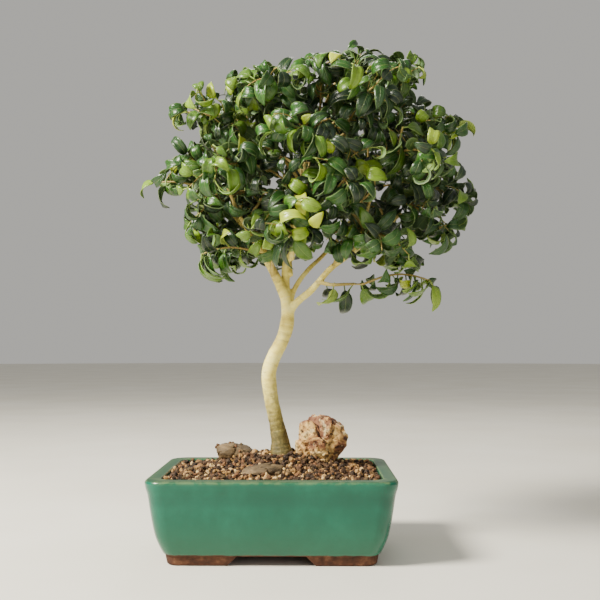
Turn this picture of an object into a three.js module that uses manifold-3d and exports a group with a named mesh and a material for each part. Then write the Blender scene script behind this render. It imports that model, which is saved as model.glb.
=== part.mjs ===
// A curly-leaved ficus bonsai in a glazed rectangular pot, in millimetres with Z up.
// The tree stands in a pot of soil under a layer of gravel, beside one large stone and two flat ones.
// Front is -Y. The origin is under the middle of the bounding box, on the surface that the pot stands on.
import * as THREE from "three";
import { mergeVertices } from "three/addons/utils/BufferGeometryUtils.js";
import Module from "manifold-3d";

const wasm = await Module();
wasm.setup();

// Driving dimensions: the pot
const POT_LENGTH = 203;
const POT_DEPTH = 152;
const POT_HEIGHT = 69;
const FOOT_HEIGHT = 8;
const FOOT_WIDTH = 12;
const RIM_WIDTH = 12;
const CORNER_RADIUS = 16;
const FLOOR_THICKNESS = 7;
const INNER_TAPER = 5;
const DRAIN_RADIUS = 8;
const DRAIN_OFFSET = 45;
const FOOT_GAP_FRONT = 55;
const FOOT_GAP_SIDE = 38;
const FOOT_GAP_SLOPE = 8;

// Driving dimensions: what fills the pot
const CLEARANCE = 0.35;
const SCREEN_SIZE = 32;
const SCREEN_THICKNESS = 1.2;
const SCREEN_HOLES = 2;
const GRAVEL_THICKNESS = 8;
const GRAVEL_GRAIN = 13;
const GRAVEL_RELIEF = 3;
const SOIL_CELL = 34;
const SURFACE_LEVEL = 66;
const MOUND_RISE = 17;
const MOUND_REACH = [40, 27];

// Driving dimensions: the tree
const TRUNK_RADIUS = 6.4;
const ROOT_DEPTH = 32;
const TWIG_RADIUS = 1.2;
const TWIG_TIP_RADIUS = 1;
const JOINT_GAP = 0.3;
const LEAF_LENGTH = [24, 31];
const LEAF_HALF_WIDTH = [5, 6.6];
const LEAF_CURL = [1.4, 3.4];
const PETIOLE = [4, 6.5];
const LEAF_THICKNESS = 1.3;
const LEAF_STATIONS = [0.12, 0.48, 0.82];
const STALK_SINK = 0.3;
const LEAF_DROOP = 0.3;
const HANGING_DROOP = 1.3;
const LEAF_SPREAD = 1.3;
const ROOM = 0.45;
const TRIES = 8;
const UPPER_COUNT = 31;
const HIGHEST = 0.92;
const LOWEST = -0.7;
const SKIRT_COUNT = 5;
const SKIRT_MIDDLE = [32, 4];
const SKIRT_REACH = [38, 88];
const SKIRT_LEVEL = 264;
const SEED = 9;

const UP = new THREE.Vector3(0, 0, 1);
const vec = (x, y, z) => new THREE.Vector3(x, y, z);
const mix = (a, b, t) => a + (b - a) * t;

// A seeded random generator (Mulberry32) for one named place, so that every draw is repeatable.
function draws(...keys) {
  let state = SEED;
  for (const key of keys) state = (Math.imul(state, 31) + key * 101 + 17) >>> 0;
  return () => {
    state = (state + 0x6d2b79f5) >>> 0;
    let t = state;
    t = Math.imul(t ^ (t >>> 15), t | 1);
    t ^= t + Math.imul(t ^ (t >>> 7), t | 61);
    return ((t ^ (t >>> 14)) >>> 0) / 4294967296;
  };
}

// A closed geometry as a solid, with its shared vertices merged.
function toSolid(geometry) {
  const bare = geometry.index ? geometry.clone() : geometry;
  bare.deleteAttribute("normal");
  bare.deleteAttribute("uv");
  const merged = mergeVertices(bare, 1e-4);
  const triVerts = new Uint32Array(merged.index.array);
  const vertProperties = merged.attributes.position.array;
  return new wasm.Manifold(new wasm.Mesh({ numProp: 3, vertProperties, triVerts }));
}

// A solid as a geometry to draw.
function toGeometry(solid) {
  const mesh = solid.getMesh();
  const geometry = new THREE.BufferGeometry();
  geometry.setAttribute("position", new THREE.BufferAttribute(mesh.vertProperties, 3));
  geometry.setIndex(new THREE.BufferAttribute(mesh.triVerts, 1));
  return geometry;
}

// A geometry from points and triangles, given as lists of indices.
function fromFaces(points, faces) {
  const geometry = new THREE.BufferGeometry();
  geometry.setFromPoints(points);
  geometry.setIndex(faces);
  return geometry;
}

// A closed skin through rings that have the same number of points, with a fan at each end.
function loft(rings) {
  const count = rings[0].length;
  const faces = [];
  for (let r = 0; r + 1 < rings.length; r++) {
    for (let i = 0; i < count; i++) {
      const a = r * count + i;
      const b = r * count + ((i + 1) % count);
      faces.push(a, b, b + count, a, b + count, a + count);
    }
  }
  const last = (rings.length - 1) * count;
  for (let i = 1; i + 1 < count; i++) {
    faces.push(0, i + 1, i);
    faces.push(last, last + i, last + i + 1);
  }
  return fromFaces(rings.flat(), faces);
}

// A horizontal rectangle with round corners, counter-clockwise from above.
function roundedRing(halfX, halfY, radius, z) {
  const corner = 3;
  const points = [];
  for (let c = 0; c < 4; c++) {
    const centreX = (c === 0 || c === 3 ? 1 : -1) * (halfX - radius);
    const centreY = (c < 2 ? 1 : -1) * (halfY - radius);
    for (let i = 0; i <= corner; i++) {
      const angle = ((c + i / corner) * Math.PI) / 2;
      points.push(vec(centreX + radius * Math.cos(angle), centreY + radius * Math.sin(angle), z));
    }
  }
  return points;
}

// Rings of the pot's section, each set in from the rim's outer edge.
function potRings(levels) {
  return levels.map(([inset, z]) =>
    roundedRing(POT_LENGTH / 2 - inset, POT_DEPTH / 2 - inset, CORNER_RADIUS - inset * 0.35, z),
  );
}

const FOOT_INSET = 16.5;
const OUTSIDE_OF_POT = [
  [FOOT_INSET + 1.5, 0],
  [FOOT_INSET, 1.5],
  [FOOT_INSET - 1.2, FOOT_HEIGHT],
  [13.6, FOOT_HEIGHT + 1.5],
  [10.6, 16],
  [7.9, 23.5],
  [5.7, 34],
  [3.9, 45],
  [2.3, 56],
  [0.4, 62],
  [0, POT_HEIGHT - 1.5],
  [1.5, POT_HEIGHT],
];
const INNER_FLOOR = FOOT_HEIGHT + FLOOR_THICKNESS;

// The space inside the pot, made smaller by shrink on every side.
function potCavity(shrink, bottom, top) {
  return toSolid(
    loft(
      potRings([
        [RIM_WIDTH + INNER_TAPER + shrink, bottom],
        [RIM_WIDTH + shrink, POT_HEIGHT - 6],
        [RIM_WIDTH + shrink, top],
      ]),
    ),
  );
}

// A trapezoid opening across the foot, wider at the ground, run along Y or X.
function footGap(width, alongX) {
  const half = width / 2;
  const shape = new THREE.Shape([
    new THREE.Vector2(-half - FOOT_GAP_SLOPE - 1, -1),
    new THREE.Vector2(half + FOOT_GAP_SLOPE + 1, -1),
    new THREE.Vector2(half, FOOT_HEIGHT),
    new THREE.Vector2(-half, FOOT_HEIGHT),
  ]);
  const run = POT_LENGTH + 20;
  const gap = new THREE.ExtrudeGeometry(shape, { depth: run, bevelEnabled: false });
  gap.translate(0, 0, -run / 2).rotateX(Math.PI / 2);
  if (alongX) gap.rotateZ(Math.PI / 2);
  return toSolid(gap);
}

function drainHole(side) {
  const hole = new THREE.CylinderGeometry(DRAIN_RADIUS, DRAIN_RADIUS, POT_HEIGHT / 2, 12);
  return toSolid(hole.rotateX(Math.PI / 2).translate(side * DRAIN_OFFSET, 0, INNER_FLOOR));
}

function makePot() {
  const recess = potRings([
    [FOOT_INSET + FOOT_WIDTH, -1],
    [FOOT_INSET + FOOT_WIDTH, FOOT_HEIGHT],
  ]);
  return toSolid(loft(potRings(OUTSIDE_OF_POT)))
    .subtract(potCavity(0, INNER_FLOOR, POT_HEIGHT + 1))
    .subtract(toSolid(loft(recess)))
    .subtract(footGap(FOOT_GAP_FRONT, false))
    .subtract(footGap(FOOT_GAP_SIDE, true))
    .subtract(drainHole(-1))
    .subtract(drainHole(1));
}

// A square of plastic mesh that keeps the soil out of a drain hole.
function makeScreen(side, grow) {
  const size = SCREEN_SIZE + 2 * grow;
  const plate = new THREE.BoxGeometry(size, size, SCREEN_THICKNESS + grow);
  const z = INNER_FLOOR + CLEARANCE + (SCREEN_THICKNESS + grow) / 2;
  let screen = toSolid(plate.translate(side * DRAIN_OFFSET, 0, z));
  if (grow > 0) return screen;
  const pitch = SCREEN_SIZE / (SCREEN_HOLES + 0.4);
  for (let i = 0; i < SCREEN_HOLES; i++) {
    for (let j = 0; j < SCREEN_HOLES; j++) {
      const hole = new THREE.BoxGeometry(pitch * 0.72, pitch * 0.72, 10);
      const x = side * DRAIN_OFFSET + (i - (SCREEN_HOLES - 1) / 2) * pitch;
      hole.translate(x, (j - (SCREEN_HOLES - 1) / 2) * pitch, z);
      screen = screen.subtract(toSolid(hole));
    }
  }
  return screen;
}

// The tree's lines of growth. Each has its points, and its radius at the start and at the end.
const TRUNK_FOOT = vec(5.5, 4, SURFACE_LEVEL + MOUND_RISE);
const TRUNK = {
  points: [
    [6, 4, SURFACE_LEVEL + MOUND_RISE - ROOT_DEPTH],
    [6, 4, 76],
    [4.6, 4, 92],
    [1.1, 4, 109],
    [-3.6, 4, 131],
    [-5.3, 4, 152],
    [-0.5, 4, 167],
    [6.6, 4, 181],
    [10.7, 4, 196],
    [11.6, 4, 211],
  ],
  radii: [6, 11.5, 8, 6.5, 6.4, 6.6, 6.3, 6.1, 6.2, 5.4].map((r) => (r * TRUNK_RADIUS) / 6.4),
  sides: 9,
  steps: 19,
};
const BOUGHS = {
  left: {
    points: [
      [11, 4, 198],
      [9.5, 4, 216],
      [1, 4, 236],
      [-6, 3, 249],
      [-13, 1, 262],
      [-32, -4, 286],
      [-52, -6, 308],
    ],
    radii: [5.4, 1.9],
  },
  leader: {
    points: [
      [10, 6, 214],
      [9, 9, 230],
      [9.5, 10, 247],
      [14, 9, 268],
      [20, 7, 297],
      [25, 5, 327],
      [29, 4, 364],
    ],
    radii: [4.4, 1.6],
  },
  inner: {
    points: [
      [13, 7, 209],
      [15.7, 11, 223],
      [23, 15, 236],
      [32, 20, 247],
      [41, 26, 256],
      [60, 34, 278],
      [77, 36, 305],
      [86, 34, 328],
    ],
    radii: [2.6, 1.5],
  },
  right: {
    points: [
      [11.6, 3, 201],
      [17.5, 2, 212],
      [32, -3, 224],
      [41, -7, 234],
      [50, -10, 243.5],
      [62, -13, 252],
      [78, -16, 264],
      [94, -17, 276],
      [110, -16, 290],
    ],
    radii: [3.8, 2.8, 2.4, 1.7],
  },
  low_right: {
    points: [
      [38, -6, 231],
      [50, -14, 228],
      [60, -19, 228],
      [69, -22.5, 228],
    ],
    radii: [1.9, 1.3],
  },
  back: {
    points: [
      [13, 9, 238],
      [12, 22, 256],
      [14, 36, 276],
      [17, 44, 288],
    ],
    radii: [3, 1.7],
  },
  back_left: {
    points: [
      [-4, 3, 245],
      [-14, 18, 264],
      [-26, 32, 286],
      [-38, 44, 308],
    ],
    radii: [2.6, 1.4],
  },
  front: {
    points: [
      [14, 8, 252],
      [17, -8, 270],
      [22, -24, 287],
      [24, -31, 296],
    ],
    radii: [2.8, 1.7],
  },
  front_left: {
    points: [
      [-9, 2, 254],
      [-20, -14, 270],
      [-30, -30, 288],
      [-38, -44, 308],
    ],
    radii: [2.5, 1.4],
  },
  front_right: {
    points: [
      [60, -13, 251],
      [73, -30, 266],
      [78, -44, 286],
      [84, -52, 308],
    ],
    radii: [2.2, 1.4],
  },
};

const curveOf = (line) =>
  new THREE.CatmullRomCurve3(
    line.points.map((p) => vec(...p)),
    false,
    "catmullrom",
    0.5,
  );

// The radius at t along a line, whose radii are spread evenly over it.
function radiusAt(line, t) {
  const place = Math.min(t, 0.99999) * (line.radii.length - 1);
  const i = Math.floor(place);
  return mix(line.radii[i], line.radii[i + 1], place - i);
}

// A tapered limb through stations of a point, a tangent and a radius. One corner of its section faces up,
// or to the back where the limb stands upright.
function limb(stations, sides) {
  const chord = stations.at(-1).point.clone().sub(stations[0].point).normalize();
  const facing = Math.abs(chord.z) < 0.8 ? UP : vec(0, 1, 0);
  const rings = stations.map(({ point, tangent, radius }) => {
    const side = facing.clone().cross(tangent).normalize();
    const other = tangent.clone().cross(side);
    return Array.from({ length: sides }, (_, i) => {
      const angle = Math.PI / 2 + (2 * Math.PI * i) / sides;
      const ray = side.clone().multiplyScalar(Math.cos(angle)).addScaledVector(other, Math.sin(angle));
      return point.clone().addScaledVector(ray, radius);
    });
  });
  return toSolid(loft(rings));
}

function stationsAlong(line, steps, grow) {
  const curve = curveOf(line);
  const stations = Array.from({ length: steps + 1 }, (_, i) => {
    const t = i / steps;
    return { point: curve.getPoint(t), tangent: curve.getTangent(t), radius: radiusAt(line, t) + grow };
  });
  stations[0].point.addScaledVector(stations[0].tangent, -grow);
  return stations;
}

// The crown's shape from the front: its reach from the middle in 16 directions, anticlockwise from the right.
const CROWN_MIDDLE = vec(37, 4, 335);
const CROWN_REACH = [141, 132, 122, 108, 90, 93, 104, 130, 137, 130, 124, 100, 74, 96, 134, 145];
const CROWN_HALF_DEPTH = 108;
const TWIG_SHARES = [0.46, 0.92];
const PRUNED_SHARE = 1.14;

function crownReach(angle) {
  const place = (((angle / (2 * Math.PI)) % 1) + 1) % 1;
  const i = Math.floor(place * 16);
  return mix(CROWN_REACH[i % 16], CROWN_REACH[(i + 1) % 16], place * 16 - i);
}

// The crown is fuller than an ellipsoid at its shoulders, so shares of its reach are joined by this rule.
const fullness = (a, b) => (Math.abs(a) ** 2.6 + Math.abs(b) ** 2.6) ** (1 / 2.6);

// Whether a point lies in the crown as it is pruned.
function insidePruned(point) {
  const from = point.clone().sub(CROWN_MIDDLE);
  const across = Math.hypot(from.x, from.z) / crownReach(Math.atan2(from.z, from.x));
  return fullness(across, from.y / CROWN_HALF_DEPTH) < PRUNED_SHARE;
}

// The point on the crown's surface in a direction from its middle.
function crownPoint(direction) {
  const reach = crownReach(Math.atan2(direction.z, direction.x));
  const stretch = 1 / fullness(Math.hypot(direction.x, direction.z), direction.y);
  const scale = vec(reach, CROWN_HALF_DEPTH, reach).multiplyScalar(stretch);
  return CROWN_MIDDLE.clone().add(scale.multiply(direction));
}

// Sprays that stand out of the crown, from where they start to their tips, and how much their leaves hang.
const OUTSTANDING = [
  { from: [-34, -14, 294], to: [-104, -12, 318], droop: LEAF_DROOP },
  { from: [-8, -28, 252], to: [-60, -38, 252], droop: HANGING_DROOP },
  { from: [78.5, -25.5, 228.6], to: [133, -30, 230], droop: HANGING_DROOP },
  { from: [42, -12, 382], to: [66, -14, 420], droop: 0 },
];

// Evenly spread directions from the crown's middle, from the top down to where the branches come in.
function sprayDirections() {
  const golden = Math.PI * (3 - Math.sqrt(5));
  return Array.from({ length: UPPER_COUNT }, (_, k) => {
    const z = mix(HIGHEST, LOWEST, k / (UPPER_COUNT - 1));
    const flat = Math.sqrt(1 - z * z);
    return vec(flat * Math.cos(k * golden), flat * Math.sin(k * golden), z);
  });
}

// Every spray's main twig: where it starts, where it ends and how much it arches.
// The skirt is the lowest tier, which reaches out level all round.
function sprayLines() {
  const upper = sprayDirections().map((direction, k) => {
    const draw = draws(1, k);
    const tip = crownPoint(direction);
    const from = CROWN_MIDDLE.clone().lerp(tip, TWIG_SHARES[0] + 0.08 * (draw() - 0.5));
    const to = CROWN_MIDDLE.clone().lerp(tip, TWIG_SHARES[1] + 0.08 * (draw() - 0.5));
    return { from, to, arch: mix(0.08, 0.18, draw()), droop: LEAF_DROOP };
  });
  const skirt = Array.from({ length: SKIRT_COUNT }, (_, k) => {
    const draw = draws(6, k);
    const angle = ((k + 0.5 + 0.3 * (draw() - 0.5)) / SKIRT_COUNT) * 2 * Math.PI;
    const [x, y] = SKIRT_MIDDLE;
    const at = (reach, z) => vec(x + reach * Math.cos(angle), y + reach * Math.sin(angle), z);
    const level = SKIRT_LEVEL + 8 * (draw() - 0.5);
    const [near, far] = SKIRT_REACH;
    const arch = mix(0.08, 0.16, draw());
    return { from: at(near, level + 8), to: at(far, level), arch, droop: LEAF_DROOP };
  });
  const odd = OUTSTANDING.map(({ from, to, droop }) => {
    return { from: vec(...from), to: vec(...to), arch: 0.12, droop };
  });
  return [...upper, ...skirt, ...odd];
}

// A point, and the direction, at s from 0 to 1 along an arched twig.
function twigPoint(twig, s) {
  const length = twig.from.distanceTo(twig.to);
  return twig.from
    .clone()
    .lerp(twig.to, s)
    .addScaledVector(UP, twig.arch * length * Math.sin(Math.PI * s));
}

function twigTangent(twig, s) {
  const length = twig.from.distanceTo(twig.to);
  return twig.to
    .clone()
    .sub(twig.from)
    .addScaledVector(UP, twig.arch * length * Math.PI * Math.cos(Math.PI * s))
    .normalize();
}

function twigStations(twig, steps, thick, thin) {
  return Array.from({ length: steps + 1 }, (_, i) => {
    const s = i / steps;
    return { point: twigPoint(twig, s), tangent: twigTangent(twig, s), radius: mix(thick, thin, s) };
  });
}

// The side twig of a spray, to the left or right. Each try sends it another way.
function sideTwig(twig, k, attempt) {
  const length = twig.from.distanceTo(twig.to);
  const draw = draws(2, k, attempt);
  const s = mix(0.25, 0.4, draw());
  const from = twigPoint(twig, s);
  const along = twigTangent(twig, s);
  const side = along.clone().cross(UP).normalize();
  if ((k + attempt) % 2) side.negate();
  const lift = mix(-0.1, 0.35, draw());
  const out = along.multiplyScalar(0.62).addScaledVector(side, 0.78).addScaledVector(UP, lift).normalize();
  const reach = Math.min(38, 0.6 * length) * mix(0.85, 1.1, draw());
  return { from, to: from.clone().addScaledVector(out, reach), arch: 0.1, droop: twig.droop };
}

// Where a spray's leaves leave its twigs: the twig, the place along it and the side it starts on.
function leafSlots(twigs) {
  const places =
    twigs.length > 1
      ? [
          [0.96, 0.8, 0.64, 0.48, 0.32, 0.16],
          [0.94, 0.66, 0.36],
        ]
      : [[0.97, 0.85, 0.73, 0.61, 0.49, 0.37, 0.25, 0.12]];
  return twigs.flatMap((twig, t) => places[t].map((s, i) => ({ twig, s, side: (i + t) % 2 ? -1 : 1 })));
}

// One leaf: its frame at the stalk's root, and its sizes. Each try turns and curls it in another way.
function leafAt(slot, k, i, attempt) {
  const draw = draws(3, k, i, attempt);
  const jitter = (size) => vec(draw() - 0.5, draw() - 0.5, draw() - 0.5).multiplyScalar(size);
  const root = twigPoint(slot.twig, slot.s);
  const along = twigTangent(slot.twig, slot.s);
  const side = along.clone().cross(UP).normalize().multiplyScalar(slot.side);
  const out = root.clone().sub(CROWN_MIDDLE).normalize();
  const direction = along
    .clone()
    .multiplyScalar(0.35)
    .addScaledVector(side, 0.55)
    .addScaledVector(out, 0.3)
    .addScaledVector(UP, -slot.twig.droop)
    .add(jitter(LEAF_SPREAD + 0.1 * attempt))
    .normalize();
  const normal = UP.clone().multiplyScalar(0.5).addScaledVector(out, 0.85).add(jitter(LEAF_SPREAD));
  normal.addScaledVector(direction, -normal.dot(direction)).normalize();
  return {
    root,
    direction,
    normal,
    petiole: mix(...PETIOLE, draw()),
    length: mix(...LEAF_LENGTH, draw()),
    halfWidth: mix(...LEAF_HALF_WIDTH, draw()),
    curl: mix(...LEAF_CURL, draw()),
    twist: mix(-0.35, 0.35, draw()),
  };
}

// The share of a leaf's greatest width at s from its base to its tip.
const leafOutline = (s) => (s ** 0.55 * (1 - s) ** 0.8) / 0.4012;

// A leaf's midrib runs straight along its stalk, then curls under on an arc of a circle.
function midrib(leaf, s) {
  const bend = leaf.curl * s;
  const radius = leaf.length / leaf.curl;
  const point = leaf.root
    .clone()
    .addScaledVector(leaf.direction, leaf.petiole + radius * Math.sin(bend))
    .addScaledVector(leaf.normal, -radius * (1 - Math.cos(bend)));
  const tangent = leaf.direction
    .clone()
    .multiplyScalar(Math.cos(bend))
    .addScaledVector(leaf.normal, -Math.sin(bend));
  const flat = leaf.direction.clone().cross(leaf.normal);
  const across = flat.applyAxisAngle(tangent, leaf.twist * s);
  return { point, across, normal: across.clone().cross(tangent) };
}

// A leaf as a thin solid, flat above and keeled along its midrib below, that narrows into its stalk.
// To test for room it is made larger by grow, and can be its blade alone, without the stalk.
function leafSolid(leaf, grow = 0, bladeOnly = false) {
  const foot = leaf.root.clone().addScaledVector(leaf.direction, -STALK_SINK);
  const points = [bladeOnly ? midrib(leaf, 0).point : foot];
  for (const s of LEAF_STATIONS) {
    const rib = midrib(leaf, s);
    const half = leaf.halfWidth * leafOutline(s) + grow;
    points.push(
      rib.point.clone().addScaledVector(rib.normal, -LEAF_THICKNESS - grow),
      rib.point.clone().addScaledVector(rib.across, -half).addScaledVector(rib.normal, grow),
      rib.point.clone().addScaledVector(rib.across, half).addScaledVector(rib.normal, grow),
    );
  }
  points.push(midrib(leaf, 1 + grow / leaf.length).point);
  const last = points.length - 1;
  const faces = [];
  for (let i = 0; i < 3; i++) {
    const next = (i + 1) % 3;
    faces.push(0, 1 + next, 1 + i);
    for (let a = 1; a + 3 < last; a += 3) {
      faces.push(a + i, a + next, a + next + 3);
      faces.push(a + i, a + next + 3, a + i + 3);
    }
    faces.push(last - 3 + i, last - 3 + next, last);
  }
  return toSolid(fromFaces(points, faces));
}

// The point of a bough from which a branch to a spray grows best, and the way the bough runs there.
function bestFork(target) {
  let best = null;
  for (const line of Object.values(BOUGHS)) {
    const curve = curveOf(line);
    for (let i = 6; i <= 19; i++) {
      const t = i / 19.4;
      const point = curve.getPoint(t);
      const tangent = curve.getTangent(t);
      const way = target.clone().sub(point);
      const distance = way.length();
      const cost = distance * (1.7 - way.normalize().dot(tangent));
      if (!best || cost < best.cost) best = { cost, point, tangent, distance, radius: radiusAt(line, t) };
    }
  }
  return best;
}

// A branch from its fork to where a spray starts, as a smooth curve that ends along the spray's own twig.
function branchTo(twig) {
  const end = twigTangent(twig, 0);
  const stop = twig.from.clone().addScaledVector(end, -JOINT_GAP);
  const fork = bestFork(stop);
  const handle = fork.distance * 0.38;
  const leaving = stop.clone().sub(fork.point).normalize().add(fork.tangent).normalize();
  const curve = new THREE.CubicBezierCurve3(
    fork.point,
    fork.point.clone().addScaledVector(leaving, handle),
    stop.clone().addScaledVector(end, -handle),
    stop,
  );
  const thick = Math.min(fork.radius * 0.8, 1.9);
  const steps = 3;
  return limb(
    Array.from({ length: steps + 1 }, (_, i) => {
      const t = i / steps;
      return { point: curve.getPoint(t), tangent: curve.getTangent(t), radius: mix(thick, TWIG_RADIUS, t) };
    }),
    3,
  );
}

// The trunk alone, which can be grown a little to cut the hole that it stands in.
const makeTrunk = (grow) => limb(stationsAlong(TRUNK, TRUNK.steps, grow), TRUNK.sides);

function makeTree(sprays) {
  let tree = makeTrunk(0);
  for (const line of Object.values(BOUGHS)) tree = tree.add(limb(stationsAlong(line, 5, 0), 5));
  for (const twig of sprays) tree = tree.add(branchTo(twig));
  return tree;
}

const boxesMeet = (a, b) => [0, 1, 2].every((i) => a.min[i] < b.max[i] && b.min[i] < a.max[i]);

// Whether a solid is clear of every solid in a list of solids with their boxes.
function isClear(solid, others) {
  const box = solid.boundingBox();
  return others.every((o) => !boxesMeet(box, o.box) || solid.intersect(o.solid).isEmpty());
}

const withBox = (solid) => ({ solid, box: solid.boundingBox() });

// The wood of one twig.
const twigLimb = (twig, steps, thick, grow = 0) =>
  limb(twigStations(twig, steps, thick + grow, TWIG_TIP_RADIUS + grow), 3);

// The wood of every spray: its main twig, and on every third spray a side twig where one has room.
function makeSprayWood(lines, tree) {
  const mains = lines.map((line) => withBox(twigLimb(line, 4, TWIG_RADIUS)));
  const sides = [];
  return lines.map((line, k) => {
    const others = [withBox(tree), ...mains.filter((_, m) => m !== k), ...sides];
    for (let attempt = 0; attempt < (k % 3 ? 0 : TRIES); attempt++) {
      const side = sideTwig(line, k, attempt);
      if (!isClear(twigLimb(side, 2, TWIG_TIP_RADIUS, 2 * ROOM), others)) continue;
      const solid = twigLimb(side, 2, TWIG_TIP_RADIUS);
      sides.push(withBox(solid));
      return { twigs: [line, side], wood: withBox(mains[k].solid.add(solid)), leaves: [] };
    }
    return { twigs: [line], wood: mains[k], leaves: [] };
  });
}

// Fills every spray with the leaves that have room, and returns each as one solid.
function makeSprays(lines, tree) {
  const sprays = makeSprayWood(lines, tree);
  const taken = [withBox(tree)];
  sprays.forEach((spray, k) => {
    const others = sprays.filter((s) => s !== spray).map((s) => s.wood);
    leafSlots(spray.twigs).forEach((slot, i) => {
      for (let attempt = 0; attempt < TRIES; attempt++) {
        const leaf = leafAt(slot, k, i, attempt);
        if (k < UPPER_COUNT && !insidePruned(midrib(leaf, 0.7).point)) continue;
        if (!isClear(leafSolid(leaf, ROOM), [...taken, ...others])) continue;
        if (!isClear(leafSolid(leaf, ROOM, true), [spray.wood])) continue;
        const solid = leafSolid(leaf);
        spray.leaves.push(solid);
        taken.push(withBox(solid));
        return;
      }
    });
  });
  return sprays.map((spray) => spray.leaves.reduce((a, b) => a.add(b), spray.wood.solid));
}

// The gravel's height over the pot: level at the walls and raised round the trunk.
function moundHeight(x, y) {
  const dx = (x - TRUNK_FOOT.x) / MOUND_REACH[0];
  const dy = (y - TRUNK_FOOT.y) / MOUND_REACH[1];
  return SURFACE_LEVEL + MOUND_RISE * Math.exp(-0.5 * (dx * dx + dy * dy));
}

// A block whose top follows a height over the pot, on a grid of cells.
function heightBlock(cell, bottom, heightAt) {
  const across = Math.round(POT_LENGTH / cell);
  const deep = Math.round(POT_DEPTH / cell);
  const block = new THREE.BoxGeometry(POT_LENGTH, POT_DEPTH, 1, across, deep, 1);
  const position = block.attributes.position;
  for (let i = 0; i < position.count; i++) {
    const x = position.getX(i);
    const y = position.getY(i);
    position.setZ(i, position.getZ(i) > 0 ? heightAt(x, y) : bottom);
  }
  return toSolid(block);
}

// Rough relief as of loose grains: every grid point has its own height.
function gravelHeight(x, y) {
  const draw = draws(4, Math.round(x * 10) + 5000, Math.round(y * 10) + 5000);
  return moundHeight(x, y) + GRAVEL_RELIEF * (draw() - 0.5);
}

// A rough stone: a ball with facets, stretched to its size and pushed in and out. Its place is its middle.
function makeStone(stone, grow) {
  const ball = new THREE.IcosahedronGeometry(1, stone.detail);
  const position = ball.attributes.position;
  for (let i = 0; i < position.count; i++) {
    const p = vec(position.getX(i), position.getY(i), position.getZ(i));
    const key = [p.x, p.y, p.z].map((v) => Math.round(v * 500) + 1000);
    const rough = 1 + stone.roughness * (draws(5, stone.seed, ...key)() - 0.5);
    const square = 1 + stone.squareness * (1 - Math.max(Math.abs(p.x), Math.abs(p.y), Math.abs(p.z)));
    const size = vec(...stone.size).multiplyScalar(0.5 * rough * square).addScalar(grow);
    position.setXYZ(i, p.x * size.x, p.y * size.y, p.z * size.z);
  }
  ball.rotateY(stone.lean).rotateZ(stone.turn).translate(...stone.place);
  return toSolid(ball);
}

const STONES = {
  feature_stone: {
    place: [40, 7, 90],
    size: [44, 34, 47],
    lean: 0.12,
    turn: 0.3,
    roughness: 0.2,
    squareness: 0.45,
    detail: 2,
    seed: 3,
    colour: 0xd9bda6,
  },
  flat_stone_back: {
    place: [-37, 26, 79],
    size: [41, 27, 18],
    lean: 0.1,
    turn: 0.2,
    roughness: 0.2,
    squareness: 0.1,
    detail: 1,
    seed: 8,
    colour: 0x9b8560,
  },
  flat_stone_front: {
    place: [-8, -35, 71.5],
    size: [40, 23, 11],
    lean: -0.06,
    turn: 0.1,
    roughness: 0.2,
    squareness: 0.1,
    detail: 1,
    seed: 11,
    colour: 0xa98e68,
  },
};

// Cuts a filling clear of the trunk and of the stones that are set in it.
function cutForStandingPieces(filling) {
  const stones = Object.values(STONES).map((stone) => makeStone(stone, CLEARANCE));
  return stones.reduce((rest, stone) => rest.subtract(stone), filling.subtract(makeTrunk(CLEARANCE)));
}

const soilHeight = (x, y) => moundHeight(x, y) - GRAVEL_THICKNESS;

function makeSoil() {
  const soil = heightBlock(SOIL_CELL, 0, soilHeight)
    .intersect(potCavity(CLEARANCE, INNER_FLOOR + CLEARANCE, POT_HEIGHT * 2))
    .subtract(makeScreen(-1, CLEARANCE))
    .subtract(makeScreen(1, CLEARANCE));
  return cutForStandingPieces(soil);
}

function makeGravel() {
  const gravel = heightBlock(GRAVEL_GRAIN, 0, gravelHeight)
    .intersect(potCavity(CLEARANCE, INNER_FLOOR, POT_HEIGHT * 2))
    .subtract(heightBlock(SOIL_CELL, 0, (x, y) => soilHeight(x, y) + CLEARANCE));
  return cutForStandingPieces(gravel);
}

function material(color, roughness) {
  return new THREE.MeshStandardMaterial({ color, roughness, metalness: 0, flatShading: true });
}
const GLAZE = material(0x3f8266, 0.2);
const PLASTIC = material(0x202422, 0.6);
const EARTH = material(0x3a2a1e, 0.95);
const PEBBLES = material(0x7a5a44, 0.9);
const BARK = material(0xb9a77c, 0.8);
const LEAVES = material(0x2f6a33, 0.35);

const bonsai = new THREE.Group();
function place(name, solid, look) {
  const mesh = new THREE.Mesh(toGeometry(solid), look);
  mesh.name = name;
  bonsai.add(mesh);
}

const sprayTwigs = sprayLines();
const tree = makeTree(sprayTwigs);
place("pot", makePot(), GLAZE);
place("drain_screen_left", makeScreen(-1, 0), PLASTIC);
place("drain_screen_right", makeScreen(1, 0), PLASTIC);
place("soil", makeSoil(), EARTH);
place("gravel", makeGravel(), PEBBLES);
for (const [name, stone] of Object.entries(STONES)) {
  place(name, makeStone(stone, 0), material(stone.colour, 0.85));
}
place("tree", tree, BARK);
makeSprays(sprayTwigs, tree).forEach((solid, k) => {
  place("spray_" + String(k + 1).padStart(2, "0"), solid, LEAVES);
});

// The origin goes under the middle of the whole object's box.
const box = new THREE.Box3().setFromObject(bonsai);
bonsai.position.set(-(box.min.x + box.max.x) / 2, -(box.min.y + box.max.y) / 2, -box.min.z);

export default bonsai;
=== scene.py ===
# Looks of a curly-leaved ficus bonsai in a glazed pot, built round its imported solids.
# Blender works in metres. Shapes that follow the solids are worked out in the solids' own millimetres,
# with the middle of the pot at 0, 0, and moved into the frame by to_frame().
import math
from contextlib import contextmanager
from itertools import product

import bmesh
import bpy
import numpy as np
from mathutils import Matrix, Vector, noise
from mathutils.kdtree import KDTree


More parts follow.
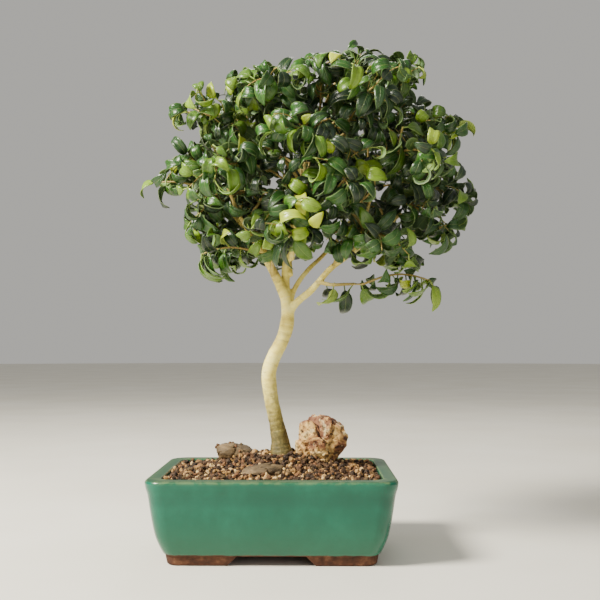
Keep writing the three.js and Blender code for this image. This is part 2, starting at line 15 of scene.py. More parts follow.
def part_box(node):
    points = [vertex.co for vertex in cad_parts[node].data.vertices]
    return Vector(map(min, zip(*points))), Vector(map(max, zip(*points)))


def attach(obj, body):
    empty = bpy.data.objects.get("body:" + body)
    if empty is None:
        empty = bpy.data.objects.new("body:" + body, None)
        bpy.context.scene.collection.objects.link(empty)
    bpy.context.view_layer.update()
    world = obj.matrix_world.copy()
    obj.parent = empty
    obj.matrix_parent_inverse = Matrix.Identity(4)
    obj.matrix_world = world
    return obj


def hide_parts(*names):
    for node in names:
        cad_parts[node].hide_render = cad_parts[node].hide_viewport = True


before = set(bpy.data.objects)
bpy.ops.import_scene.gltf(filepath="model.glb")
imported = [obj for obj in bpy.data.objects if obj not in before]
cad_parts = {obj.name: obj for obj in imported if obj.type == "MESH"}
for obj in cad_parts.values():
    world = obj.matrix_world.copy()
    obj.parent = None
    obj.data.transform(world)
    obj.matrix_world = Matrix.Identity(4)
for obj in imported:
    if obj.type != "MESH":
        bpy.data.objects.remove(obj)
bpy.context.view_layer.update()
MM = 0.001
UP = np.array([0.0, 0.0, 1.0])

pot_low, pot_high = (np.array(corner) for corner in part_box("pot"))
POT_MIDDLE = (pot_low + pot_high) / 2 * [1, 1, 0]

# Camera, in the pot's own millimetres
CAMERA_PLACE = (30.9, -743.0, 173.7)
CAMERA_LENS = 50.75
CAMERA_YAW = math.radians(0.68)
CAMERA_PITCH = math.radians(3.23)

# Pot, with the wall's profile above the foot as pairs of inset from the rim and height
POT_LENGTH = 203.0
POT_DEPTH = 152.0
POT_HEIGHT = 69.0
FOOT_HEIGHT = 8.0
FOOT_INSET = 16.5
FOOT_WIDTH = 12.0
RIM_WIDTH = 12.0
CORNER_RADIUS = 16.0
CORNER_TAPER = 0.35
INNER_TAPER = 5.0
INNER_FLOOR = 15.0
DRAIN_RADIUS = 8.0
DRAIN_OFFSET = 45.0
FOOT_GAP_FRONT = 55.0
FOOT_GAP_SIDE = 38.0
FOOT_GAP_SLOPE = 8.0
BELLY = ((13.6, 9.5), (10.6, 16), (7.9, 23.5), (5.7, 34), (3.9, 45), (2.3, 56), (0.7, 62), (0.05, 66))
LIP_RADIUS = 2.8
INNER_LIP_RADIUS = 1.5
CORNER_STEPS = 10
SIDE_STEPS = (18, 14)
DRAIN_SIDES = 32

# Filling
SURFACE_LEVEL = 66.0
MOUND_RISE = 17.0
MOUND_REACH = (40.0, 27.0)
TRUNK_FOOT = (5.5, 4.0)
TRUNK_ROOM = 9.2
GRAIN_PITCH = 3.35
GRAIN_SIZE = (1.5, 2.6)
LAYER_JITTER = (0.7, 1.4)
LAYER_LEVEL = (-0.9, 1.2)
UPPER_LAYER_SHARE = 0.3
STREWN_GRAINS = 26
STREWN_SIZE = (0.9, 1.8)
STREWN_TONE = (0.3, 0.75)
BED_DEPTH = 7.0
BED_RINGS = 40
STONE_FACES = 5000

# Tree
SEED = 9
ROOT_DEPTH = 32.0
TWIG_RADIUS = 1.2
TWIG_TIP_RADIUS = 1.0
LEAF_LENGTH = (24.0, 31.0)
LEAF_HALF_WIDTH = (5.0, 6.6)
LEAF_CURL = (1.4, 3.4)
PETIOLE = (4.0, 6.5)
LEAF_DROOP = 0.3
HANGING_DROOP = 1.3
LEAF_SPREAD = 1.3
TRIES = 8
UPPER_COUNT = 31
HIGHEST = 0.92
LOWEST = -0.7
SKIRT_COUNT = 5
SKIRT_MIDDLE = (32.0, 4.0)
SKIRT_REACH = (38.0, 88.0)
SKIRT_LEVEL = 264.0
CROWN_MIDDLE = np.array([37.0, 4.0, 335.0])
CROWN_REACH = (141, 132, 122, 108, 90, 93, 104, 130, 137, 130, 124, 100, 74, 96, 134, 145)
CROWN_HALF_DEPTH = 108.0
CROWN_POWER = 2.6
TWIG_SHARES = (0.46, 0.92)
OUTSTANDING = (
    ((-34, -14, 294), (-104, -12, 318), LEAF_DROOP),
    ((-8, -28, 252), (-60, -38, 252), HANGING_DROOP),
    ((78.5, -25.5, 228.6), (133, -30, 230), HANGING_DROOP),
    ((42, -12, 382), (66, -14, 420), 0.0),
)
CORNER_NEARNESS = 0.03
TREE_VOXEL = 1.0

# The tree's lines of growth, each with its points and the radii that are spread evenly along it
ROOT_END = (6, 4, SURFACE_LEVEL + MOUND_RISE - ROOT_DEPTH)
TRUNK = (
    (
        *(ROOT_END, (6, 4, 76), (4.6, 4, 92), (1.1, 4, 109), (-3.6, 4, 131)),
        *((-5.3, 4, 152), (-0.5, 4, 167), (6.6, 4, 181), (10.7, 4, 196), (11.6, 4, 211)),
    ),
    (6, 11.5, 8, 6.5, 6.4, 6.6, 6.3, 6.1, 6.2, 5.4),
)
BOUGHS = (
    (
        (
            *((11, 4, 198), (9.5, 4, 216), (1, 4, 236), (-6, 3, 249)),
            *((-13, 1, 262), (-32, -4, 286), (-52, -6, 308)),
        ),
        (5.4, 1.9),
    ),
    (
        ((10, 6, 214), (9, 9, 230), (9.5, 10, 247), (14, 9, 268), (20, 7, 297), (25, 5, 327), (29, 4, 364)),
        (4.4, 1.6),
    ),
    (
        (
            *((13, 7, 209), (15.7, 11, 223), (23, 15, 236), (32, 20, 247)),
            *((41, 26, 256), (60, 34, 278), (77, 36, 305), (86, 34, 328)),
        ),
        (2.6, 1.5),
    ),
    (
        (
            *((11.6, 3, 201), (17.5, 2, 212), (32, -3, 224), (41, -7, 234), (50, -10, 243.5)),
            *((62, -13, 252), (78, -16, 264), (94, -17, 276), (110, -16, 290)),
        ),
        (3.8, 2.8, 2.4, 1.7),
    ),
    (((38, -6, 231), (50, -14, 228), (60, -19, 228), (69, -22.5, 228)), (1.9, 1.3)),
    (((13, 9, 238), (12, 22, 256), (14, 36, 276), (17, 44, 288)), (3, 1.7)),
    (((-4, 3, 245), (-14, 18, 264), (-26, 32, 286), (-38, 44, 308)), (2.6, 1.4)),
    (((14, 8, 252), (17, -8, 270), (22, -24, 287), (24, -31, 296)), (2.8, 1.7)),
    (((-9, 2, 254), (-20, -14, 270), (-30, -30, 288), (-38, -44, 308)), (2.5, 1.4)),
    (((60, -13, 251), (73, -30, 266), (78, -44, 286), (84, -52, 308)), (2.2, 1.4)),
)

# Surroundings, in metres, with each light's place, target, size, power and tint
LIGHTS = {
    "key": ((-1.15, -0.62, 1.2), (0, 0, 0.26), 0.5, 92, (1.0, 0.95, 0.83)),
    "fill": ((0.7, -1.6, 0.6), (0, 0, 0.15), 1.0, 3, (0.97, 0.98, 1.0)),
    "back": ((0.1, 1.2, 1.3), (0, 0, 0.3), 0.8, 8, (1.0, 0.96, 0.88)),
}
WORLD_STRENGTH = 0.62
FLOOR_RADIUS = 9.0
FLOOR_SIDES = 64


def to_frame(points):
    """Points in the pot's own millimetres, as metres in the frame."""
    return np.asarray(points, float) * MM + POT_MIDDLE


def mix(a, b, t):
    return a + (b - a) * t


def clamp(value, low, high):
    return min(max(value, low), high)


def unit(v):
    return v / math.sqrt(v @ v)


def colour(red, green, blue):
    """A colour given as display values from 0 to 255, as the linear colour that a shader takes."""
    shares = (c / 255 for c in (red, green, blue))
    return (*(c / 12.92 if c <= 0.04045 else ((c + 0.055) / 1.055) ** 2.4 for c in shares), 1.0)


# Materials


class Look:
    """A material round one principled shader, with sizes in millimetres and colours as display values."""

    def __init__(self, name, **sockets):
        self.material = bpy.data.materials.new(name)
        self.material.use_nodes = True
        self.nodes = self.material.node_tree.nodes
        self.links = self.material.node_tree.links
        self.shader = self.nodes["Principled BSDF"]
        for socket, value in sockets.items():
            self.feed(self.shader.inputs[socket.replace("_", " ")], value)
        self.where = self.position()

    def feed(self, socket, value):
        if isinstance(value, bpy.types.NodeSocket):
            self.links.new(value, socket)
        else:
            socket.default_value = colour(*value) if isinstance(value, tuple) else value

    def node(self, kind, settings=(), **inputs):
        made = self.nodes.new("ShaderNode" + kind)
        for key, value in dict(settings).items():
            setattr(made, key, value)
        for key, value in inputs.items():
            self.feed(made.inputs[key.replace("_", " ")], value)
        return made

    def position(self, scale=(1, 1, 1)):
        """The place in the object's own space, stretched by scale."""
        place = self.node("TexCoord").outputs["Object"]
        return self.node("Mapping", Vector=place, Scale=[s / MM for s in scale]).outputs[0]

    def parts(self, vector):
        """The sockets of a vector's X, Y and Z."""
        return self.node("SeparateXYZ", Vector=vector).outputs

    def attribute(self, name):
        return self.node("Attribute", {"attribute_name": name}).outputs["Fac"]

    def noise(self, size, detail=3.0, roughness=0.5, where=None):
        """Noise with lumps of a size."""
        spread = {"Scale": 1 / size, "Detail": detail, "Roughness": roughness}
        return self.node("TexNoise", Vector=where or self.where, **spread).outputs["Fac"]

    def remap(self, value, low, high, to_low=0.0, to_high=1.0):
        ends = {"From_Min": low, "From_Max": high, "To_Min": to_low, "To_Max": to_high}
        return self.node("MapRange", {"interpolation_type": "SMOOTHSTEP"}, Value=value, **ends).outputs[0]

    def maths(self, operation, *values):
        made = self.node("Math", {"operation": operation})
        for socket, value in zip(made.inputs, values):
            self.feed(socket, value)
        return made.outputs[0]

    def plus(self, *values):
        return self.maths("ADD", *values)

    def minus(self, *values):
        return self.maths("SUBTRACT", *values)

    def times(self, *values):
        return self.maths("MULTIPLY", *values)

    def blend(self, share, first, second):
        made = self.node("Mix", {"data_type": "RGBA"})
        for index, value in ((0, share), (6, first), (7, second)):
            self.feed(made.inputs[index], value)
        return made.outputs[2]

    def stain(self, base, value, low, high, most, tone):
        """A base that turns to a tone, at most by a share, as a value goes from low to high."""
        return self.blend(self.remap(value, low, high, 0, most), base, tone)

    def ramp(self, value, *stops):
        """A colour from stops of a place from 0 to 1 and a colour."""
        made = self.node("ValToRGB", Fac=value)
        elements = made.color_ramp.elements
        while len(elements) < len(stops):
            elements.new(0.5)
        for element, (place, shade) in zip(elements, stops):
            element.position = place
            element.color = colour(*shade)
        return made.outputs[0]

    def bump(self, height, depth):
        """Relief of a depth."""
        made = self.node("Bump", Height=height, Distance=depth * MM, Strength=1.0)
        self.links.new(made.outputs[0], self.shader.inputs["Normal"])

    def finish(self, base, roughness=None):
        self.feed(self.shader.inputs["Base Color"], base)
        if roughness is not None:
            self.feed(self.shader.inputs["Roughness"], roughness)
        return self.material


def glaze_look():
    """Green glaze, paler low on the wall as a painted reflection of the floor and darker in a band under the
    lip as painted shade, olive on the rim's top and pale along the lip's edges as wear and a painted
    highlight, over red clay at the foot.
    """
    look = Look("glaze", Specular_IOR_Level=0.3)
    height = look.parts(look.where)["Z"]
    cloud = look.noise(38, 4, 0.6)
    streaks = look.noise(7, 5, 0.6, look.position((1, 1, 0.5)))
    speckle = look.noise(0.9, 2)
    mixed = look.plus(look.times(cloud, 0.7), look.times(streaks, 0.3))
    green = look.ramp(mixed, (0.3, (1, 77, 58)), (0.5, (2, 86, 66)), (0.68, (5, 98, 76)))
    # paler low on the wall: a painted reflection of the bright floor
    pale = look.remap(height, 46, 10, 0, 0.55)
    green = look.blend(pale, green, (42, 100, 74))
    # a darker band under the lip: painted shade and reflection
    painted_shade_band = look.times(look.remap(height, 46, 52), look.remap(height, 60, 55, 0, 0.45))
    green = look.blend(painted_shade_band, green, (2, 72, 56))
    up = look.parts(look.node("NewGeometry").outputs["Normal"])["Z"]
    on_rim = look.times(look.remap(up, 0.55, 0.9), look.remap(height, 63, 67))
    green = look.blend(look.times(on_rim, 0.75), green, (34, 60, 34))
    # pale along the lip's edges: wear, and a painted highlight
    worn_and_highlit = look.times(look.attribute("edge"), look.remap(look.noise(5, 4), 0.35, 0.6, 0.25, 0.9))
    green = look.blend(look.times(worn_and_highlit, 0.6), green, (128, 140, 92))
    green = look.stain(green, speckle, 0.62, 0.72, 0.35, (24, 70, 58))
    grain = look.noise(6, 5, 0.65)
    clay = look.ramp(grain, (0.3, (46, 26, 17)), (0.55, (82, 50, 34)), (0.75, (118, 82, 58)))
    grit = look.noise(0.7, 3)
    line = look.plus(height, look.times(look.noise(7, 3), 2.2))
    glazed = look.remap(line, FOOT_HEIGHT + 1.7, FOOT_HEIGHT + 2.5)
    base = look.blend(glazed, clay, green)
    roughness = look.node("Mix", Factor=glazed)
    roughness.inputs[2].default_value = 0.85
    shiny = look.remap(cloud, 0.3, 0.7, 0.16, 0.26)
    look.feed(roughness.inputs[3], look.plus(shiny, look.times(on_rim, 0.3)))
    coat = look.times(glazed, look.minus(0.18, look.times(on_rim, 0.18)))
    look.feed(look.shader.inputs["Coat Weight"], coat)
    look.shader.inputs["Coat Roughness"].default_value = 0.06
    orange_peel = look.times(look.noise(4, 2), look.times(glazed, 0.35))
    rough_clay = look.times(grit, look.minus(1.0, glazed))
    look.bump(look.plus(orange_peel, rough_clay), 0.35)
    return look.finish(base, roughness.outputs[0])


def bark_look():
    """Pale smooth bark with fine rings round the wood, greener and browner on old and on thin wood, and
    darker towards the bottom, part old bark and part painted shade.
    """
    look = Look("bark", Specular_IOR_Level=0.3)
    along = look.attribute("along")
    girth = look.attribute("girth")
    x, y, z = look.parts(look.where)
    ring_place = look.node("CombineXYZ", X=look.times(x, 0.16), Y=look.times(y, 0.16), Z=along).outputs[0]
    rings = look.noise(1.7, 4, 0.62, ring_place)
    wide_rings = look.noise(6, 2, 0.5, ring_place)
    patches = look.noise(14, 4, 0.6)
    base = look.ramp(patches, (0.3, (192, 170, 80)), (0.5, (240, 222, 118)), (0.72, (250, 240, 154)))
    base = look.stain(base, rings, 0.52, 0.7, 0.5, (244, 232, 172))
    base = look.stain(base, rings, 0.43, 0.28, 0.4, (122, 98, 50))
    base = look.stain(base, wide_rings, 0.56, 0.7, 0.3, (128, 114, 72))
    # darker towards the bottom: old bark, and painted shade
    blotch = look.times(look.noise(5, 4, 0.65), 60.0)
    low = look.remap(look.plus(z, blotch), 190, 122, 0, 0.9)
    grain = look.noise(2.6, 5, 0.68)
    old = look.ramp(grain, (0.36, (15, 11, 6)), (0.5, (50, 40, 21)), (0.68, (108, 90, 50)))
    base = look.blend(low, base, look.stain(old, rings, 0.45, 0.3, 0.5, (26, 20, 11)))
    young = look.remap(girth, 2.6, 1.3, 0, 0.75)
    base = look.blend(young, base, (124, 98, 58))
    relief = look.plus(rings, look.times(wide_rings, 0.6))
    look.bump(relief, 0.45)
    return look.finish(base, look.remap(rings, 0.3, 0.7, 0.75, 0.55))


def leaf_look():
    """Glossy leaves, dark to young yellow green, with a pale midrib, side veins and a matt underside."""
    look = Look("leaf")
    age = look.attribute("age")
    under = look.attribute("under")
    shade = look.attribute("shade")
    s, v, _ = look.parts(look.node("UVMap", {"uv_map": "leaf"}).outputs[0])
    u = look.maths("ABSOLUTE", look.minus(v, 0.5))
    mottle = look.noise(4.5, 3, 0.6)
    toned = look.plus(age, look.times(look.minus(mottle, 0.5), 0.22))
    base = look.ramp(
        toned,
        (0.0, (3, 15, 10)),
        (0.2, (10, 40, 15)),
        (0.42, (38, 84, 18)),
        (0.7, (116, 148, 26)),
        (1.0, (178, 190, 48)),
    )
    base = look.blend(look.times(shade, 0.8), base, (3, 16, 9))
    ribs = look.minus(look.times(s, 9.0), look.times(u, 5.0))
    ribs = look.maths("PINGPONG", ribs, 0.5)
    vein = look.remap(ribs, 0.09, 0.0)
    midrib = look.remap(u, 0.035, 0.012)
    lines = look.maths("MAXIMUM", midrib, look.times(vein, 0.4))
    paler = look.blend(0.5, base, (186, 200, 120))
    base = look.blend(look.times(lines, 0.34), base, paler)
    dull = look.blend(0.5, base, (104, 132, 84))
    base = look.blend(under, base, dull)
    # paler along the margins: a painted highlight
    edge = look.remap(u, 0.45, 0.5, 0.0, 0.35)
    base = look.blend(edge, base, paler)
    height = look.minus(look.noise(2.2, 3), look.times(lines, 0.9))
    look.bump(height, 0.22)
    roughness = look.remap(mottle, 0.3, 0.7, 0.28, 0.4)
    roughness = look.plus(roughness, look.times(under, 0.25))
    return look.finish(base, roughness)


def grain_look():
    """Crushed stone of browns, pinks and creams, one tone to a grain, over a dark bed that is painted shade
    in the gaps.
    """
    look = Look("gravel", Specular_IOR_Level=0.35)
    tone = look.attribute("tone")
    base = look.ramp(
        tone,
        (0.0, (34, 23, 15)),
        (0.2, (62, 42, 26)),
        (0.38, (88, 58, 34)),
        (0.5, (80, 66, 38)),
        (0.64, (122, 80, 50)),
        (0.78, (146, 112, 62)),
        (0.9, (180, 140, 88)),
        (1.0, (226, 196, 136)),
    )
    speck = look.noise(0.7, 4, 0.65)
    base = look.stain(base, speck, 0.5, 0.7, 0.45, (60, 40, 30))
    base = look.stain(base, speck, 0.45, 0.3, 0.3, (214, 190, 160))
    look.bump(speck, 0.35)
    return look.finish(base, look.remap(speck, 0.3, 0.7, 0.95, 0.7))


def pale_stone_look():
    """Cream and pink rock with dark pits and rusty seams."""
    look = Look("pale_stone", Specular_IOR_Level=0.35)
    cloud = look.noise(15, 4, 0.6)
    rusty = (0.34, (84, 46, 36)), (0.45, (142, 98, 66))
    creamy = (0.54, (198, 158, 94)), (0.68, (236, 208, 140))
    base = look.ramp(cloud, *rusty, *creamy)
    base = look.blend(look.times(look.attribute("pits"), 0.85), base, (52, 32, 28))
    pits = look.noise(2.8, 5, 0.65)
    base = look.stain(base, pits, 0.56, 0.64, 0.85, (62, 38, 32))
    crust = look.noise(7, 3, 0.55)
    base = look.stain(base, crust, 0.56, 0.66, 0.5, (238, 218, 166))
    look.bump(look.minus(pits, look.remap(pits, 0.58, 0.7)), 0.7)
    return look.finish(base, look.remap(pits, 0.4, 0.7, 0.7, 0.95))


def tan_stone_look():
    """Flat river stones in tan with darker bands."""
    look = Look("tan_stone", Specular_IOR_Level=0.4)
    bands = look.noise(7, 5, 0.6, look.position((0.5, 0.8, 2.0)))
    base = look.ramp(bands, (0.3, (52, 42, 28)), (0.5, (94, 76, 50)), (0.7, (136, 112, 78)))
    speck = look.noise(0.8, 3)
    base = look.stain(base, speck, 0.55, 0.7, 0.4, (66, 52, 36))
    look.bump(look.plus(speck, bands), 0.5)
    return look.finish(base, look.remap(speck, 0.3, 0.7, 0.8, 0.55))


def soil_look():
    """Dark damp soil with crumbs and flecks of grit."""
    look = Look("soil", Specular_IOR_Level=0.2)
    crumbs = look.noise(2.5, 5, 0.7)
    base = look.ramp(crumbs, (0.3, (28, 20, 15)), (0.55, (58, 42, 30)), (0.8, (92, 70, 50)))
    cells = look.node("TexVoronoi", Vector=look.where, Scale=1 / 3.5).outputs["Distance"]
    fleck = look.remap(cells, 0.16, 0.1, 0, 0.8)
    base = look.blend(fleck, base, (164, 146, 118))
    look.bump(crumbs, 1.0)
    return look.finish(base, look.remap(crumbs, 0.3, 0.7, 0.98, 0.85))


def plastic_look():
    """Black moulded plastic mesh, finely grained and dusty."""
    look = Look("plastic", Specular_IOR_Level=0.4)
    grain = look.noise(0.5, 3)
    dust = look.noise(7, 4, 0.6)
    base = look.ramp(dust, (0.35, (26, 28, 27)), (0.7, (70, 64, 54)))
    look.bump(grain, 0.08)
    return look.finish(base, look.remap(dust, 0.3, 0.7, 0.4, 0.7))


# Meshes


def add_object(name, data):
    made = bpy.data.objects.new(name, data)
    bpy.context.scene.collection.objects.link(made)
    return made


def set_values(mesh, name, values):
    layer = mesh.attributes.new(name, "FLOAT", "POINT")
    layer.data.foreach_set("value", np.asarray(values, np.float32))


def get_points(mesh):
    """A mesh's points in the pot's own millimetres."""
    co = np.zeros(len(mesh.vertices) * 3, np.float32)
    mesh.vertices.foreach_get("co", co)
    return (co.reshape(-1, 3).astype(float) - POT_MIDDLE) / MM


def set_points(mesh, points):
    """Moves a mesh's points to places in the pot's own millimetres."""
    mesh.vertices.foreach_set("co", to_frame(points).astype(np.float32).ravel())


def set_material(mesh, material):
    mesh.materials.clear()
    mesh.materials.append(material)


@contextmanager
def editing(mesh):
    """A mesh opened for editing, and written back at the end."""
    work = bmesh.new()
    work.from_mesh(mesh)
    yield work
    work.to_mesh(mesh)
    work.free()


class Skin:
    """Gathers points in the pot's millimetres, faces, and values for each point, then makes one object."""

    def __init__(self):
        self.points = []
        self.faces = []
        self.values = {}
        self.maps = []
        self.count = 0

    def add(self, points, faces, uv=None, **values):
        points = np.asarray(points, float)
        self.faces += [tuple(int(i) + self.count for i in face) for face in faces]
        self.points.append(points)
        self.maps.append(np.zeros((len(points), 2)) if uv is None else uv)
        for name, value in values.items():
            self.values.setdefault(name, []).append(np.broadcast_to(value, len(points)))
        self.count += len(points)

    def make(self, name, material, smooth=True):
        mesh = bpy.data.meshes.new(name)
        mesh.from_pydata(to_frame(np.concatenate(self.points)).tolist(), [], self.faces)
        for key, values in self.values.items():
            set_values(mesh, key, np.concatenate(values))
        if any(m.any() for m in self.maps):
            corner = np.zeros(len(mesh.loops), np.int32)
            mesh.loops.foreach_get("vertex_index", corner)
            layer = mesh.uv_layers.new(name="leaf")
            layer.uv.foreach_set("vector", np.concatenate(self.maps)[corner].astype(np.float32).ravel())
        mesh.polygons.foreach_set("use_smooth", [smooth] * len(mesh.polygons))
        mesh.materials.append(material)
        return add_object(name, mesh)


def loft(rings):
    """Faces that join rings of the same number of points, with a flat end on the first and last ring."""
    count = len(rings[0])
    faces = []
    for r in range(len(rings) - 1):
        for i in range(count):
            a, b = r * count + i, r * count + (i + 1) % count
            faces.append((a, b, b + count, a + count))
    last = (len(rings) - 1) * count
    faces.append(tuple(reversed(range(count))))
    faces.append(tuple(range(last, last + count)))
    return np.concatenate(rings), faces


def tube(points, radii, sides):
    """A round limb along points, with its own radius at each."""
    points = np.asarray(points, float)
    way = np.gradient(points, axis=0)
    way /= np.linalg.norm(way, axis=1)[:, None]
    side = np.cross(way[0], UP if abs(way[0][2]) < 0.8 else (0.0, 1.0, 0.0))
    angles = 2 * math.pi * np.arange(sides) / sides
    rings = []
    for point, along, radius in zip(points, way, radii):
        side = unit(side - along * (side @ along))
        other = np.cross(along, side)
        rings.append(point + radius * (np.cos(angles)[:, None] * side + np.sin(angles)[:, None] * other))
    return loft(rings)


def apply_modifiers(made):
    """Replaces an object's mesh by what its modifiers make of it."""
    evaluated = made.evaluated_get(bpy.context.evaluated_depsgraph_get())
    mesh = bpy.data.meshes.new_from_object(evaluated)
    made.modifiers.clear()
    made.data = mesh


def sharpen(mesh, degrees):
    """Shades a mesh smooth, but for edges that bend more than an angle."""
    with editing(mesh) as work:
        for face in work.faces:
            face.smooth = True
        for edge in work.edges:
            edge.smooth = len(edge.link_faces) == 2 and edge.calc_face_angle(0) < math.radians(degrees)


def present(piece, node):
    """A piece that stands for a CAD node and rides with it, with the node hidden."""
    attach(piece, "root")
    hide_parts(node)


# The pot


def rounded_ring(half_x, half_y, radius, z):
    """A horizontal rectangle with round corners, anticlockwise from above."""

    def on_corner(c, turn):
        angle = (c + turn) * math.pi / 2
        middle_x = (half_x - radius) * (1 if c in (0, 3) else -1)
        middle_y = (half_y - radius) * (1 if c < 2 else -1)
        return middle_x + radius * math.cos(angle), middle_y + radius * math.sin(angle), z

    points = []
    for c in range(4):
        points += [on_corner(c, i / CORNER_STEPS) for i in range(CORNER_STEPS + 1)]
        start, end = points[-1], on_corner((c + 1) % 4, 0)
        steps = SIDE_STEPS[c % 2]
        points += [tuple(mix(a, b, i / steps) for a, b in zip(start, end)) for i in range(1, steps)]
    return np.array(points)


def pot_ring(inset, z):
    radius = max(CORNER_RADIUS - inset * CORNER_TAPER, 4)
    return rounded_ring(POT_LENGTH / 2 - inset, POT_DEPTH / 2 - inset, radius, z)


def arc_profile(middle, radius, start, stop, steps):
    """Points on an arc of the section, with angles in degrees from outwards to upwards."""
    found = []
    for i in range(steps + 1):
        angle = math.radians(mix(start, stop, i / steps))
        found.append(np.array([middle[0] - radius * math.cos(angle), middle[1] + radius * math.sin(angle)]))
    return found


def pot_profile():
    """The pot's section from its foot over the rim to its floor, as pairs of inset and height."""
    inner_inset, inner_top = RIM_WIDTH - INNER_LIP_RADIUS, POT_HEIGHT - INNER_LIP_RADIUS
    belly = Line(BELLY)
    steps = 4 * (len(BELLY) - 1)
    return [
        np.array([FOOT_INSET + 1.5, 0.0]),
        np.array([FOOT_INSET + 0.2, 1.0]),
        np.array([FOOT_INSET - 1.0, FOOT_HEIGHT - 0.8]),
        np.array([FOOT_INSET - 1.3, FOOT_HEIGHT]),
        *(belly.point(i / steps) for i in range(steps)),
        *arc_profile((LIP_RADIUS, POT_HEIGHT - LIP_RADIUS), LIP_RADIUS, 0, 90, 7),
        *arc_profile((inner_inset, inner_top), INNER_LIP_RADIUS, 90, 180, 5),
        np.array([RIM_WIDTH, POT_HEIGHT - 6]),
        np.array([RIM_WIDTH + INNER_TAPER - 1, INNER_FLOOR + 6]),
        np.array([RIM_WIDTH + INNER_TAPER + 1, INNER_FLOOR]),
    ]


def cutter(points, faces):
    skin = Skin()
    skin.add(points, faces)
    made = skin.make("cutter", None)
    with editing(made.data) as work:
        bmesh.ops.recalc_face_normals(work, faces=work.faces)
    return made


def foot_gap(width, along_x):
    """A trapezoid run across the foot, wider at the ground."""
    half = width / 2
    flare = half + FOOT_GAP_SLOPE + 1
    section = ((-flare, -1), (flare, -1), (half, FOOT_HEIGHT), (-half, FOOT_HEIGHT))
    run = POT_LENGTH / 2 + 10
    rings = [[(end, -a, z) if along_x else (a, end, z) for a, z in section] for end in (-run, run)]
    return loft(np.array(rings))


def drain_hole(middle_x):
    angles = 2 * math.pi * np.arange(DRAIN_SIDES) / DRAIN_SIDES
    circle = np.stack([middle_x + DRAIN_RADIUS * np.cos(angles), DRAIN_RADIUS * np.sin(angles)], 1)
    return loft([np.column_stack([circle, np.full(DRAIN_SIDES, z)]) for z in (0.0, INNER_FLOOR + 5)])


def make_pot():
    skin = Skin()
    skin.add(*loft([pot_ring(*p) for p in pot_profile()]))
    pot = skin.make("pot_glazed", glaze_look())
    recess = loft([pot_ring(FOOT_INSET + FOOT_WIDTH, z) for z in (-1, FOOT_HEIGHT)])
    gaps = [foot_gap(FOOT_GAP_FRONT, False), foot_gap(FOOT_GAP_SIDE, True)]
    tools = [cutter(*form) for form in (recess, *gaps, drain_hole(-DRAIN_OFFSET), drain_hole(DRAIN_OFFSET))]
    for tool in tools:
        cut = pot.modifiers.new("cut", "BOOLEAN")
        cut.object = tool
        cut.operation = "DIFFERENCE"
        cut.solver = "EXACT"
    apply_modifiers(pot)
    for tool in tools:
        bpy.data.objects.remove(tool)
    x, y, z = abs(get_points(pot.data)).T
    inset = np.minimum(POT_LENGTH / 2 - x, POT_DEPTH / 2 - y)
    # the lip's edges, which the glaze paints pale as wear and a painted highlight
    on_lip = np.exp(-(((z - POT_HEIGHT + 1.2) / 1.1) ** 2)) * (inset < 3)
    on_inner = np.exp(-(((z - POT_HEIGHT + 0.6) / 0.8) ** 2)) * (inset > RIM_WIDTH - 1.4)
    sharpen(pot.data, 35)
    set_values(pot.data, "edge", np.clip(on_lip * 0.8 + on_inner, 0, 1))
    present(pot, "pot")


# Stones and gravel


def mound_height(x, y):
    away_x, away_y = (x - TRUNK_FOOT[0]) / MOUND_REACH[0], (y - TRUNK_FOOT[1]) / MOUND_REACH[1]
    return SURFACE_LEVEL + MOUND_RISE * np.exp(-0.5 * (away_x**2 + away_y**2))


def refine(mesh):
    """Splits a solid's few faces into many and rounds them."""
    with editing(mesh) as work:
        bmesh.ops.remove_doubles(work, verts=work.verts, dist=1e-6)
        bmesh.ops.triangulate(work, faces=work.faces)
        while len(work.faces) < STONE_FACES:
            bmesh.ops.subdivide_edges(work, edges=work.edges, cuts=1, use_grid_fill=True)
        axes = {"use_axis_x": True, "use_axis_y": True, "use_axis_z": True}
        for _ in range(4):
            bmesh.ops.smooth_vert(work, verts=work.verts, factor=0.5, **axes)


def make_stone(node, slot, material, seed, planes, facet, tilt, rough):
    """A stone with the form of its solid, split on flat planes, with tilted facets and fine relief."""
    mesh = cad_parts[node].data.copy()
    stone = add_object(node + "_rock", mesh)
    refine(mesh)
    points = get_points(mesh)
    middle = points.mean(axis=0)
    points -= middle
    rng = np.random.default_rng(seed)
    for _ in range(planes):
        normal = unit(rng.normal(size=3))
        reach = points @ normal
        over = np.maximum(reach - reach.max() * mix(0.8, 0.93, rng.random()), 0)
        points -= over[:, None] * normal
    outward = points / np.linalg.norm(points, axis=1)[:, None]
    moved = np.zeros(len(points))
    pits = np.zeros(len(points))
    for i, point in enumerate(points):
        for size in (facet, facet * 0.4):
            where = Vector((point + middle) / size)
            near, cells = noise.voronoi(where)
            moved[i] += (where - cells[0]).dot(noise.cell_vector(cells[0] * 7.3)) * size * tilt
            moved[i] -= 0.05 * size * max(0, 1 - (near[1] - near[0]) / 0.12)
        fine = noise.fractal(Vector(point) / (facet * 0.3), 0.8, 2.1, 4)
        pits[i] = max(0, noise.noise(Vector(point) / (facet * 0.22)) - 0.18)
        moved[i] += rough * fine - 2.2 * rough * pits[i]
    set_points(mesh, points + middle + outward * moved[:, None])
    set_material(mesh, material)
    sharpen(mesh, 38)
    set_values(mesh, "pits", np.clip(pits * 4, 0, 1))
    present(stone, node)
    return stone


def inside_cavity(x, y, margin):
    """Whether places lie in the pot's opening, clear of its wall by a margin."""
    half_x = POT_LENGTH / 2 - RIM_WIDTH - margin
    half_y = POT_DEPTH / 2 - RIM_WIDTH - margin
    radius = CORNER_RADIUS - RIM_WIDTH * CORNER_TAPER
    over_x = np.maximum(abs(x) - (half_x - radius), 0)
    over_y = np.maximum(abs(y) - (half_y - radius), 0)
    return np.hypot(over_x, over_y) < radius


